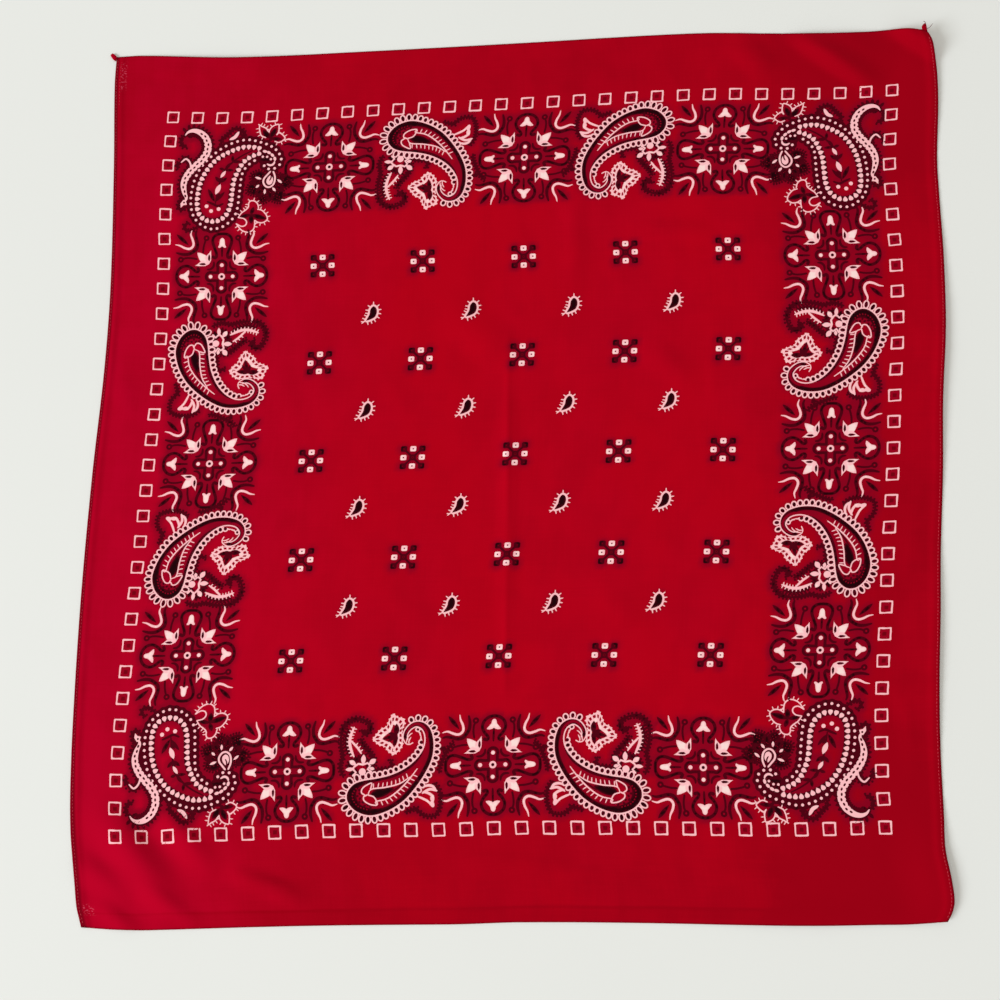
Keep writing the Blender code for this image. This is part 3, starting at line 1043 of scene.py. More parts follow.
def corner_ground(motif, plume, beads, petals):
    """All that is dark under the white: the plume, the fringes and the two rows' ground."""
    for i, (spot, way) in enumerate(along_line(plume, 1.05)):
        out = (1 - 2 * (i % 2)) * 1j * way
        motif.fill(DARK, leaf(pair(spot), pair(spot + out * 4.6 - way * 0.8), 1.9, 0.6))
    motif.fill(DARK, ribbon(plume, 6.6, 0.4))
    for width, *places in CORNER_FRINGES:
        motif.fringe(width, *places)
    for spot, way in along_line(beads, BEAD_GAP):
        motif.fill(DARK, oval(pair(spot), 2.5, 2.75, math.degrees(cmath.phase(way))))
    motif.fill(DARK, ribbon(beads, 4.6, 0.85))
    motif.fill(DARK, np.concatenate([beads[24:-3], petals[::-1]]))
    motif.fill(BARE, through(INNER_FIELD, closed=True))
    motif.fill(DARK, ribbon(petals, 3.6, 0.7))
    motif.fill(DARK, oval((-26.0, -10.4), 7.2, 5.4, -38))


def corner_rows(motif, beads, petals):
    """The row of beads, the row of petals inside it, and the tail's dashes and hook."""
    for spot, _ in along_line(beads, BEAD_GAP):
        motif.fill(WHITE, oval(pair(spot), 0.95))
    for spot, way in along_line(petals, PETAL_GAP, 0.3):
        out, wing = 1.75j * way, 1.45 * way
        half = [(0, 1.0), (0.55, 0.55), (0.95, 0.0), (1.0, -0.45), (0.7, -0.85), (0.25, -0.95)]
        around = half + [(-x, y) for x, y in reversed(half[1:])]
        motif.fill(WHITE, np.array([spot + wing * x + out * y for x, y in around]))
    for x, y, degrees in TAIL_DASHES:
        motif.fill(WHITE, oval((x, y), 1.5, 0.95, degrees))
    for spot in TAIL_BEADS:
        motif.fill(WHITE, oval(spot, 0.85))
    motif.stroke(WHITE, TAIL_HOOK, 1.5, 0.5)


def corner_stem(motif):
    """The stem in the field, with its leaves and three berries."""
    stem = [
        (5.9, 17.1), (5.2, 12.4), (3.6, 5.0), (1.6, -3.0), (-4.4, -9.4), (-9.6, -13.0),
        (-16.2, -16.2),
    ]
    motif.stroke(DARK, stem, 1.0, 0.6)
    motif.stroke(DARK, [(1.2, 17.6), (4.6, 18.8), (7.6, 17.4), (10.9, 15.8)], 1.4, 0.6)
    sprigs = (
        ((5.8, 16.0), (0.2, 9.8), 1.9),
        ((6.4, 16.0), (10.4, 7.6), 2.4),
        ((3.0, 3.6), (-1.2, 0.6), 2.0),
        ((3.0, 3.6), (6.2, -0.4), 2.0),
        ((3.0, 3.6), (2.0, 0.0), 2.2),
        ((0.6, -4.6), (-5.2, -4.0), 1.8),
        ((0.6, -4.6), (3.8, -5.8), 1.8),
        ((0.2, -4.8), (-3.2, -9.0), 2.0),
        ((-4.4, -9.4), (-9.4, -9.6), 1.9),
        ((-4.4, -9.4), (-4.2, -13.8), 1.9),
        ((5.4, 13.6), (3.0, 10.6), 1.5),
    )
    motif.leaves(DARK, sprigs)
    motif.fill(WHITE, leaf((5.9, 11.4), (2.8, 4.6), 3.1), leaf((3.0, 0.6), (-0.3, -4.0), 2.3))
    for x, y in ((3.9, 20.9), (8.6, 22.0), (11.4, 18.8)):
        motif.ring(WHITE, (x, y), 0.65, 1.3, WHITE)


def corner_plume(motif, plume):
    """The white of the plume, with dots down its middle and along both sides."""
    motif.fill(WHITE, ribbon(plume, 4.8, 0.16))
    for spot, way in along_line(plume[8:-14], 3.0):
        for side in (1, -1):
            motif.fill(DARK, oval(pair(spot + (2.4j * side + 1.5) * way), 0.55))
    motif.stroke(WHITE, [(21.6, -6.0), (22.4, -10.0), (25.0, -12.6), (28.0, -10.4)], 1.3, 0.6)
    crest = [(24.5, 14.4), (23.6, 17.4), (25.8, 17.8), (27.6, 19.4), (27.8, 16.6), (26.0, 14.2)]
    motif.fill(WHITE, straight(crest))
    motif.fill(DARK, oval((25.5, 16.0), 0.6))
    for i, (spot, way) in enumerate(along_line(plume[5:-14], 3.0)):
        spot += 0.25j * way * (1 - 2 * (i % 2))
        motif.fill(DARK, oval(pair(spot), 0.95, 0.55, math.degrees(cmath.phase(way))))


def dark_flower(motif):
    """Six dark petals with bare dots, round a heart outlined in white."""
    for degrees, reach, wide in FLOWER_PETALS:
        way = cmath.rect(1, math.radians(degrees))
        petal = leaf(FLOWER, pair(complex(*FLOWER) + reach * way), wide, 0.56)
        for spot, along in along_line(petal, 1.6):
            motif.fill(DARK, leaf(pair(spot), pair(spot - 1.3j * along + 0.5 * way), 1.2))
        motif.fill(DARK, petal)
    for degrees, reach, wide in FLOWER_PETALS:
        way = cmath.rect(1, math.radians(degrees))
        for i in range(4, 11):
            for side in (-1, 1) if i % 2 else (0,):
                off = side * 0.038j * wide * (11.5 - i)
                spot = complex(*FLOWER) + way * (reach * i / 11.5 + off)
                motif.fill(BARE, oval(pair(spot), 0.34, 0.27, degrees))
    loop = [
        (-29.8, -1.2), (-30.8, 1.6), (-30.9, 4.4), (-30.0, 7.2), (-27.8, 8.8), (-25.4, 8.2),
        (-23.8, 5.6), (-24.2, 3.0), (-26.2, 0.6), (-28.0, -1.4),
    ]
    motif.fill(DARK, through(loop, closed=True, step=0.6))
    motif.stroke(WHITE, loop, 1.3, 0.9)
    drop = [
        (-29.6, 2.7), (-29.8, 4.8), (-28.8, 6.9), (-27.0, 7.3), (-25.7, 5.8), (-25.8, 3.8),
        (-26.9, 2.0), (-28.2, 1.1),
    ]
    motif.fill(WHITE, through(drop, closed=True, step=0.5))
    motif.stroke(DARK, [(-27.6, 4.5), (-28.5, 2.9), (-28.6, 0.9)], 0.75, 0.6)
    rays = (
        ((-29.3, 9.1), (-31.5, 12.0), 1.7),
        ((-24.8, 9.7), (-24.6, 13.3), 1.7),
        ((-21.4, 6.7), (-19.0, 8.6), 1.7),
        ((-22.7, 3.2), (-18.5, 1.4), 1.7),
        ((-32.3, 4.1), (-35.4, 6.9), 1.7),
    )
    motif.leaves(WHITE, rays)


def corner_blossoms(motif):
    """The outlined blossoms above and below the flower."""
    left = [
        (-17.7, 30.8), (-20.0, 32.4), (-22.8, 32.7), (-25.3, 31.2), (-25.4, 29.2),
        (-24.4, 27.1), (-22.3, 24.7), (-19.6, 23.7),
    ]
    foot = [
        (-20.3, 23.2), (-19.6, 20.2), (-17.8, 18.3), (-15.4, 18.0), (-14.2, 19.4),
        (-13.9, 21.9), (-12.3, 23.6), (-9.6, 25.5), (-7.6, 28.3),
    ]
    crest = [
        (-6.3, 32.2), (-8.9, 36.0), (-11.6, 37.8), (-14.4, 38.2), (-16.8, 36.6), (-17.6, 34.0),
        (-17.7, 30.8),
    ]
    hook = [(-7.6, 28.3), (-11.0, 29.2), (-12.7, 31.4), (-11.9, 33.6), (-9.4, 34.1), (-6.3, 32.2)]
    tips = (((-24.9, 30.5), 2.8), ((-15.6, 32.8), 2.8), ((-8.6, 27.9), 2.2), ((-17.2, 22.2), 2.4))
    petals = [line[::-1] for line in (left, foot, crest)]
    motif.add(blossom(petals, [hook], (-15.4, 27.0), tips), shift=(-0.6, -1.1))
    left = [
        (-27.1, -21.4), (-29.6, -20.4), (-32.0, -21.4), (-33.4, -22.9), (-31.9, -25.2),
        (-29.6, -26.8), (-28.1, -25.6),
    ]
    middle = [
        (-28.1, -25.6), (-29.2, -27.8), (-29.3, -30.6), (-28.8, -32.6), (-25.8, -31.8),
        (-23.9, -30.0), (-23.1, -27.5),
    ]
    right = [(-23.1, -27.5), (-21.4, -30.4), (-18.6, -32.1), (-16.4, -33.6)]
    side = [(-17.0, -32.6), (-17.2, -30.0), (-18.1, -26.7), (-19.2, -25.4), (-21.4, -24.4)]
    tips = (
        ((-31.6, -22.4), 2.2), ((-27.6, -30.2), 3.0), ((-19.4, -29.6), 3.2), ((-25.2, -22.0), 3.0),
    )
    petals = [line[::-1] for line in (left, middle, right, side)]
    motif.add(blossom(petals, [], (-24.0, -23.6), tips), shift=(-2.9, 0.2))


# ---------------------------------------------------------------------------------------
# What a user can change


def length(name, description, default):
    """A setting in metres."""
    return bpy.props.FloatProperty(
        name=name, description=description, default=default, unit="LENGTH", precision=5
    )


def share(name, description, default):
    """A setting from 0 to 1."""
    return bpy.props.FloatProperty(
        name=name, description=description, default=default, subtype="FACTOR", min=0, max=1
    )


def colour(name, description, default):
    """A setting that is a colour."""
    return bpy.props.FloatVectorProperty(
        name=name, description=description, default=default, subtype="COLOR", size=3, min=0, max=1
    )


class BandanaCloth(bpy.types.PropertyGroup):
    """Sizes of the cloth, its hems and their stitches"""

    width: length("Width", "Between the hemmed sides, on average", 0.525)
    height: length("Height", "Between the woven edges, on average", 0.550)
    thickness: length("Thickness", "Of one layer of cloth", 0.00030)
    clearance: length("Clearance", "Between the cloth and what it lies on", 0.00015)
    step: length("Grid step", "Between the points of the cloth", 0.0026)
    hem_width: length("Hem width", "From the folded side to the turned-in edge", 0.005)
    hem_rise: length("Hem rise", "How far the turned layers raise the cloth", 0.00065)
    stitch_inset: length("Stitch inset", "From the folded side to the stitches", 0.0012)
    stitch_pitch: length("Stitch pitch", "From one stitch to the next", 0.0021)
    stitch_width: length("Stitch width", "Of the sewing thread", 0.00034)
    selvedge: length("Selvedge line", "From the woven edge to its marked thread", 0.0095)
    thread_pitch: length("Thread pitch", "Between the threads of the weave", 0.00042)


class BandanaPrint(bpy.types.PropertyGroup):
    """Places and sizes of the print"""

    pitch: length("Pitch", "Between the squares of the outer row", 0.0163)
    side: length("Square", "Side of a square of the outer row", 0.0081)
    grain: length("Grain", "Between the points inside a printed shape", 0.0014)
    lift: length("Lift", "Of the ink above the cloth", 0.00003)


class BandanaColours(bpy.types.PropertyGroup):
    """Colours of the dyes and inks"""

    ground: colour("Ground", "The dyed cloth", (0.434, 0.0003, 0.0085))
    # Deep ground also carries the painted shade towards the right side and the woven edges.
    deep: colour("Deep ground", "The dyed cloth where it took more dye", (0.318, 0.0002, 0.0072))
    # A painted sheen: the cooler red of cloth lit from the left.
    painted_sheen: colour("Cool ground", "The dyed cloth towards its left side", (0.432, 0.0003, 0.0185))
    # Rim is painted shade where the hemmed sides turn down; it is also a colour of the frayed yarn.
    rim: colour("Rim", "Folded sides and woven edges", (0.115, 0.0004, 0.0045))
    lint: colour("Worn", "Specks of worn cloth", (0.58, 0.055, 0.11))
    white: colour("White", "The middle of the white figures", (0.95, 0.70, 0.68))
    bleed: colour("Pink edge", "White figures at their edge", (0.96, 0.50, 0.54))
    dark: colour("Dark", "The middle of the dark figures", (0.014, 0.001, 0.0025))
    dark_edge: colour("Dark edge", "Dark figures at their edge", (0.075, 0.0006, 0.0060))
    shade: colour("Shade", "The field in the small squares", (0.31, 0.0006, 0.0125))
    spot: colour("Spot", "The heart of the small squares", (0.17, 0.0005, 0.0060))
    haze: colour("Haze", "The cloth round dark figures", (0.215, 0.0012, 0.0135))
    thread: colour("Sewing thread", "The thread of the hems", (0.50, 0.040, 0.065))
    floor: colour("Floor", "What the cloth lies on", (0.80, 0.81, 0.80))


class BandanaStudio(bpy.types.PropertyGroup):
    """The camera and the lights"""

    lens: bpy.props.FloatProperty(
        name="Lens", description="Focal length", default=36.0, unit="CAMERA"
    )
    sensor: bpy.props.FloatProperty(
        name="Sensor", description="Width of the sensor", default=36.0, unit="CAMERA"
    )
    place: bpy.props.FloatVectorProperty(
        name="Camera",
        description="Where the camera stands",
        default=(0.0211, -0.0812, 0.6127),
        subtype="TRANSLATION",
        unit="LENGTH",
    )
    tilt: bpy.props.FloatVectorProperty(
        name="Tilt",
        description="How the camera turns from looking straight down",
        default=(math.radians(5.58), math.radians(2.54), 0.0),
        subtype="EULER",
    )
    sky: share("Sky", "Light from all round", 0.66)
    window: bpy.props.FloatProperty(
        name="Window", description="Power of the soft key light", default=455.0, unit="POWER"
    )


# ---------------------------------------------------------------------------------------
# Finishes

# What the pieces store for their finishes: their place along the threads, how near an edge
# of its figure the ink lies, and how much of the cloth round a point is dark ink.
THREADS, BLEED, HAZE = "Threads", "Bleed", "Haze"
# How far the yarns of the weave stand up, in metres.
WEAVE_DEPTH = 0.00006


class Wire:
    """A socket's value that takes part in arithmetic: each step adds a Math node."""

    def __init__(self, finish, socket):
        self.finish, self.socket = finish, socket

    def maths(self, operation, first, second=None):
        sockets = {0: first} if second is None else {0: first, 1: second}
        return self.finish.node("ShaderNodeMath", {"operation": operation}, sockets)

    def __add__(self, other):
        return self.maths("ADD", self, other)

    __radd__ = __add__

    def __sub__(self, other):
        return self.maths("SUBTRACT", self, other)

    def __rsub__(self, other):
        return self.maths("SUBTRACT", other, self)

    def __mul__(self, other):
        return self.maths("MULTIPLY", self, other)

    __rmul__ = __mul__

    def __truediv__(self, other):
        return self.maths("DIVIDE", self, other)

    def sine(self):
        return self.maths("SINE", self)

    def size(self):
        """The value without its sign."""
        return self.maths("ABSOLUTE", self)

    def ramp(self, low, high):
        """0 up to low, 1 from high on, smooth between."""
        settings = {"interpolation_type": "SMOOTHSTEP"}
        sockets = {"Value": self, "From Min": low, "From Max": high}
        return self.finish.node("ShaderNodeMapRange", settings, sockets)


class Finish:
    """A material with one Principled shader, its constants set on the shader's sockets."""

    def __init__(self, name, **constants):
        self.material = bpy.data.materials.new(name)
        self.material.use_nodes = True
        self.tree = self.material.node_tree
        self.shader = self.tree.nodes["Principled BSDF"]
        for socket, value in constants.items():
            self.shader.inputs[socket.replace("_", " ")].default_value = value

    def node(self, kind, settings=None, sockets=None, output=0):
        """Any node, with its settings and the values or links of its sockets."""
        made = self.tree.nodes.new(kind)
        for name, value in (settings or {}).items():
            setattr(made, name, value)
        for name, value in (sockets or {}).items():
            self.set(made.inputs[name], value)
        return Wire(self, made.outputs[output])

    def set(self, socket, value):
        """Links a wire to the socket, or gives it a value."""
        if isinstance(value, Wire):
            self.tree.links.new(value.socket, socket)
        else:
            socket.default_value = value

    def feed(self, name, value):
        """Gives the shader's socket of this name a wire or a value."""
        self.set(self.shader.inputs[name], value)

    def mix(self, share, first, second):
        """From the first colour to the second by this share."""
        sockets = {0: share, 6: first, 7: second}
        return self.node("ShaderNodeMix", {"data_type": "RGBA"}, sockets, 2)

    def threads(self):
        """Along the weft and along the warp, in metres, as a vector and two values."""
        place = self.node("ShaderNodeUVMap", {"uv_map": THREADS})
        across = self.node("ShaderNodeSeparateXYZ", {}, {0: place})
        return place, across, Wire(self, across.socket.node.outputs[1])

    def noise(self, place, factors, detail=2.0):
        """Cloudy values round 0.5, this many to a metre each way."""
        sockets = {0: place, 1: factors}
        scaled = self.node("ShaderNodeVectorMath", {"operation": "MULTIPLY"}, sockets)
        sockets = {"Vector": scaled, "Scale": 1.0, "Detail": detail}
        return self.node("ShaderNodeTexNoise", {}, sockets)

    def weave(self, pitch):
        """A plain weave with uneven yarns, as a bump. Returns where a yarn lies on top."""
        place, across, up = self.threads()
        turns = math.pi / pitch
        over = (across * turns).sine() * (up * turns).sine()
        slubs = self.noise(place, (260, 2400, 1)) + self.noise(place, (2400, 260, 1))
        rumple = self.noise(place, (170, 170, 1), 3.0)
        height = over * 0.35 + slubs * 0.5 + rumple * 0.9
        sockets = {"Height": height, "Strength": 0.35, "Distance": WEAVE_DEPTH}
        self.feed("Normal", self.node("ShaderNodeBump", {}, sockets))
        return over


def colour4(value):
    """A colour as a socket takes it."""
    return (*value, 1.0)


# Small worn places with paler specks: their middles across and up the cloth and how far
# they reach each way, in metres.
WORN = ((0.0053, 0.5364, 0.0028, 0.0115), (0.0066, 0.0105, 0.0050, 0.0042))


def cloth_finish(name, cloth, colours):
    """Red cotton: cloudy dye, uneven yarns, marked woven edges, with painted shade and a painted
    sheen.
    """
    finish = Finish(
        name,
        Roughness=0.9,
        Specular_IOR_Level=0.01,
        Sheen_Weight=0.06,
        Sheen_Roughness=0.5,
        Sheen_Tint=(1.0, 0.01, 0.12, 1.0),
    )
    place, across, up = finish.threads()
    over = finish.weave(cloth.thread_pitch)
    clouds = finish.noise(place, (11, 9, 1), 3.0).ramp(0.30, 0.72)
    drifts = finish.noise(place, (48, 34, 1), 2.0).ramp(0.32, 0.68)
    yarns = finish.noise(place, (30, 900, 1)) + finish.noise(place, (900, 30, 1))
    from_right = cloth.width - across
    from_edge = cloth.height / 2 - (up - cloth.height / 2).size()

    # The deeper dye: in clouds, drifts and single yarns, at the foot and along its marked
    # thread. Painted shade adds to it towards the right side and at both woven edges, most in
    # the right corners; painted light takes it away in the lower left corner and at the lifted
    # tip of the top right one.
    right = 1 - from_right.ramp(0.03, 0.15)
    ends = 1 - from_edge.ramp(0.02, 0.13)
    foot = 1 - up.ramp(cloth.selvedge - 0.0006, cloth.selvedge + 0.0004)
    share = clouds * 0.26 + drifts * 0.26 - 0.11 + (yarns - 1.0) * 0.30 + 0.05 * over
    marked = 1 - (up - cloth.selvedge + clouds * 0.0012).size().ramp(0.0, 0.0019)
    share = share + 0.62 * right + 0.38 * ends + 0.22 * foot + 0.30 * marked
    share = share + 0.60 * right * ends
    # Painted light: less of the deeper dye in the lower left corner, towards the light.
    share = share - (1 - across.ramp(0.03, 0.16)) * (1 - up.ramp(0.03, 0.14)) * 0.60
    # Painted highlight: the lifted tip of the top right corner, where it faces the light.
    tip = (1 - from_right.ramp(0.012, 0.030)) * up.ramp(cloth.height - 0.022, cloth.height - 0.006)
    share = share - 0.9 * tip

    # A painted sheen, the cooler red of cloth that catches the light: towards the left side,
    # where the light comes from, at the lifted top right tip and in patches with the clouds.
    # Then the deeper dye with its painted shade, and dye crept out of the dark figures.
    left = (1 - across.ramp(0.02, 0.20)) * 0.8 + clouds * 0.25 + 0.8 * tip
    base = finish.mix(left, colour4(colours.ground), colour4(colours.painted_sheen))
    base = finish.mix(share, base, colour4(colours.deep))
    haze = finish.node("ShaderNodeAttribute", {"attribute_name": HAZE}, output=2)
    base = finish.mix(haze, base, colour4(colours.haze))

    # Paler specks in the worn places.
    worn = finish.noise(place, (560, 1250, 1), 1.0).ramp(0.54, 0.68)
    spots = 0.0
    for middle_x, middle_y, reach_x, reach_y in WORN:
        off_x = ((across - middle_x) / reach_x).size()
        off_y = ((up - middle_y) / reach_y).size()
        spots = spots + worn * (1 - off_x.ramp(0.5, 1.0)) * (1 - off_y.ramp(0.5, 1.0))
    base = finish.mix(spots, base, colour4(colours.lint))

    # A dark rim, painted shade where the hemmed sides turn down away from the light: broad
    # along the left side, narrower up from its foot, thin on the right; and a thin darker line
    # along the woven edges.
    band = 0.0042 - up.ramp(0.02, 0.14) * 0.0018
    rim = (1 - (across / band).ramp(0.5, 1.1)) * 0.75
    rim = rim + (1 - from_right.ramp(0.0002, 0.0012)) * 0.5
    rim = rim + (1 - from_edge.ramp(0.0002, 0.0014)) * 0.55
    finish.feed("Base Color", finish.mix(rim, base, colour4(colours.rim)))
    return finish.material


def ink_finish(name, cloth, middle, edge):
    """Dye in the cloth, paler or darker where it thins out at the edge of a figure."""
    finish = Finish(name, Roughness=0.8, Specular_IOR_Level=0.02)
    place, _, _ = finish.threads()
    over = finish.weave(cloth.thread_pitch)
    bleed = finish.node("ShaderNodeAttribute", {"attribute_name": BLEED}, output=2)
    patchy = finish.noise(place, (420, 420, 1), 2.0)
    share = (bleed * 0.92 + (patchy - 0.5) * 0.8 + 0.06 * over).ramp(0.0, 1.0)
    finish.feed("Base Color", finish.mix(share, colour4(middle), colour4(edge)))
    return finish.material


def plain_finish(name, first, second, roughness, scale):
    """Two close colours in soft clouds."""
    finish = Finish(name, Roughness=roughness, Specular_IOR_Level=0.03)
    coordinates = finish.node("ShaderNodeTexCoord", output=3)
    clouds = finish.noise(coordinates, (scale, scale, scale), 3.0)
    finish.feed("Base Color", finish.mix(clouds, colour4(first), colour4(second)))
    return finish.material


# ---------------------------------------------------------------------------------------
# Making the pieces


def make_piece(name, points, faces, material, uv, normals=None, bleed=None):
    """A mesh piece that rides on the part's body."""
    mesh = bpy.data.meshes.new(name)
    mesh.from_pydata([tuple(p) for p in points], [], faces)
    mesh.materials.append(material)
    corners = np.empty(len(mesh.loops), np.int32)
    mesh.loops.foreach_get("vertex_index", corners)
    layer = mesh.uv_layers.new(name=THREADS)
    layer.uv.foreach_set("vector", np.asarray(uv, np.float32)[corners].ravel())
    if bleed is not None:
        attribute = mesh.attributes.new(BLEED, "FLOAT", "POINT")
        attribute.data.foreach_set("value", np.asarray(bleed, np.float32))
    mesh.shade_smooth()
    mesh.update()
    if normals is not None:
        mesh.normals_split_custom_set_from_vertices([tuple(n) for n in normals])
    piece = bpy.data.objects.new(name, mesh)
    bpy.context.scene.collection.objects.link(piece)
    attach(piece, BODY)
    return piece


def grid_faces(rows, columns, closed=False):
    """Quads over a grid of points, row by row."""
    faces = []
    last = columns if closed else columns - 1
    for j in range(rows - 1):
        for i in range(last):
            k = (i + 1) % columns
            low, high = j * columns, (j + 1) * columns
            faces.append((low + i, low + k, high + k, high + i))
    return faces


def settings():
    """The four groups of settings, of the cloth, the print, the colours and the studio."""
    scene = bpy.context.scene
    return scene.bandana_cloth, scene.bandana_print, scene.bandana_colours, scene.bandana_studio


def make_cloth():
    """The square of cloth, a shell over the grid of its threads."""
    cloth, _, colours, _ = settings()
    lay = Lay(cloth)
    across, up = np.meshgrid(lay.across * cloth.width, lay.up * cloth.height)
    uv = np.stack([across.ravel(), up.ravel()], axis=-1)
    faces = grid_faces(len(lay.up), len(lay.across))
    material = cloth_finish("printed cotton", cloth, colours)
    piece = make_piece("cloth", lay.points.reshape(-1, 3), faces, material, uv)
    wall = piece.modifiers.new("Thickness", "SOLIDIFY")
    wall.thickness, wall.offset = cloth.thickness, 0.0
    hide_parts("panel")


# How far the turned layers stay below the cloth, in metres.
HEM_GAP = 0.00005


def hem_profile(cloth):
    """The folded layers under a side, inward from its fold and up, as a closed loop."""
    wide, tall = cloth.hem_width, cloth.hem_rise - HEM_GAP
    low = cloth.clearance * 0.4
    return [
        (0.0006, tall),
        (0.0001, tall * 0.94),
        (-0.00028, tall * 0.74),
        (-0.00040, tall * 0.5),
        (-0.00028, tall * 0.24),
        (0.0001, low * 1.5),
        (0.0006, low),
        (wide * 0.55, low),
        (wide - 0.0003, low),
        (wide, tall * 0.35),
        (wide - 0.0004, tall * 0.75),
        (wide * 0.55, tall * 0.9),
    ]


# A hem's loose end: how its section is turned round its run, in radians, how far above the
# corner its lower side lies, in millimetres, and how thick it is for its width.
TWIST, END_LIFT, END_THICKNESS = 0.9, 0.35, 0.32


def hem_end_rings(hem_end, corner, count, sign):
    """The rings of a hem's twisted end, each with so many points, from the corner outwards."""
    turn = np.linspace(0, math.tau, count, endpoint=False) + TWIST
    run = np.gradient([complex(section.across, section.up) for section in hem_end])
    for section, way in zip(hem_end, run):
        aside = way / abs(way) * -1j * section.half_width * np.cos(turn)
        x = corner[0] + section.across + aside.real * sign
        y = corner[1] + section.up + aside.imag * sign
        z = corner[2] + END_LIFT + END_THICKNESS * section.half_width * (1 + np.sin(turn))
        yield np.stack([x, y, z], axis=-1) * MM


def make_hem(name, node, on_left, hem_end):
    """The turned layers under one side, with the twisted end at the top corner."""
    cloth, _, colours, _ = settings()
    lay = Lay(cloth)
    profile = hem_profile(cloth)
    sign, edge = (1, 0.0) if on_left else (-1, 1.0)
    up = lay.up
    points, uv = [], []
    for inward, height in profile:
        share_in = np.full(len(up), max(inward, 0.0) / cloth.width)
        across = share_in if on_left else 1 - share_in
        x, y = laid_at(across, up)
        base = raised(across, up, x, y, lay.width, lay.height)
        x = x + sign * min(inward, 0.0) / MM
        z = base + height / MM
        points.append(np.stack([*drawn_in(x, y, z), z], axis=-1) * MM)
        uv.append(np.stack([across * cloth.width, up * cloth.height], axis=-1))
    rings = list(np.stack(points, axis=1))
    places = list(np.stack(uv, axis=1))
    columns = len(profile)
    low = rings[-1][:, 2].min() / MM
    (x,), (y,) = drawn_in(*laid_at(np.array([edge]), np.array([1.0])), low)
    rings += hem_end_rings(hem_end, (x, y, low), columns, sign)
    inner = cloth.hem_width if on_left else cloth.width - cloth.hem_width
    places += [np.full((columns, 2), (inner, cloth.height - 0.004)) for _ in hem_end]
    faces = grid_faces(len(rings), columns, closed=True)
    if on_left:
        faces = [tuple(reversed(face)) for face in faces]
    foot = list(range(columns))
    tip = [(len(rings) - 1) * columns + i for i in foot]
    faces += [foot[::sign], tip[::-sign]]
    material = cloth_finish(name.replace("_", " ") + " cotton", cloth, colours)
    piece = make_piece(name, np.concatenate(rings), faces, material, np.concatenate(places))
    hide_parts(node)


# A row of stitches: the side it runs along, how much further in than the stitch inset it
# lies at its top and at its foot, in millimetres, the shares of the height it runs between,
# and its stitches' length as a share of their pitch. The short row is what is left of an
# older seam.
Seam = namedtuple("Seam", "side top foot low high long")
SEAMS = (
    Seam("left", -0.2, 0.25, 0.004, 0.996, 0.60),
    Seam("right", 0.25, 0.15, 0.004, 0.993, 0.60),
    Seam("left", 2.0, 2.0, 0.940, 0.994, 0.40),
)


# A stitch from end to end: shares of its length and of its width.
STITCH = ((-0.5, 0.15), (-0.36, 0.8), (0.0, 1.0), (0.36, 0.8), (0.5, 0.15))
STITCH_SIDES = 6


def make_stitches():
    """Every stitch of both hems, a short rounded length of thread on the cloth."""
    cloth, _, colours, _ = settings()
    lay = Lay(cloth)
    chance = random.Random(5)
    count = round(cloth.height / cloth.stitch_pitch)
    along = np.array([share for share, _ in STITCH])
    points, faces, uv = [], [], []
    for seam in SEAMS:
        for i in range(round(seam.low * count), round(seam.high * count)):
            up = (i + 0.5 + chance.uniform(-0.06, 0.06)) / count
            inset = cloth.stitch_inset + (up * seam.top + (1 - up) ** 4 * seam.foot) * MM
            inset += chance.uniform(-0.00012, 0.00012)
            across = inset / cloth.width if seam.side == "left" else 1 - inset / cloth.width
            long = cloth.stitch_pitch * seam.long * chance.uniform(0.86, 1.14)
            lean = chance.uniform(-0.10, 0.10)
            spots = up + along * long / cloth.height
            shares = across + along * long * lean / cloth.width
            middle, normal = lay.place(shares, spots, cloth.thickness / 2)
            way = np.gradient(middle, axis=0)
            way /= np.linalg.norm(way, axis=-1, keepdims=True)
            side = np.cross(way, normal)
            start = len(points)
            for (_, grow), p, n, s in zip(STITCH, middle, normal, side):
                for k in range(STITCH_SIDES):
                    angle = math.tau * k / STITCH_SIDES
                    radius = cloth.stitch_width / 2 * grow
                    offset = s * math.cos(angle) * radius + n * math.sin(angle) * radius * 0.8
                    points.append(p + n * radius * 0.45 + offset)
                    uv.append((across * cloth.width, up * cloth.height))
            for a, b, c, d in grid_faces(len(STITCH), STITCH_SIDES, closed=True):
                faces.append((start + a, start + d, start + c, start + b))
            end = len(points) - STITCH_SIDES
            faces.append(tuple(range(start, start + STITCH_SIDES)))
            faces.append(tuple(reversed(range(end, end + STITCH_SIDES))))
    pale = [c * 1.15 + 0.01 for c in colours.thread]
    material = plain_finish("sewing thread", colours.thread, pale, 0.7, 900)
    piece = make_piece("stitches", points, faces, material, uv)


# The two loose strands, in millimetres across and up from the corner, half their width in
# metres, and how far above the folds the cloth lies there.
STRANDS = (
    ((-0.9, 0.9), (0.4, 1.2), (1.6, 2.0), (2.7, 3.3), (3.3, 4.3)),
    ((-1.5, 3.0), (-1.2, 4.6), (-1.7, 5.6), (-2.2, 6.0)),
)
STRAND_RADIUS = 0.00014
CORNER_LIFT = 3.4


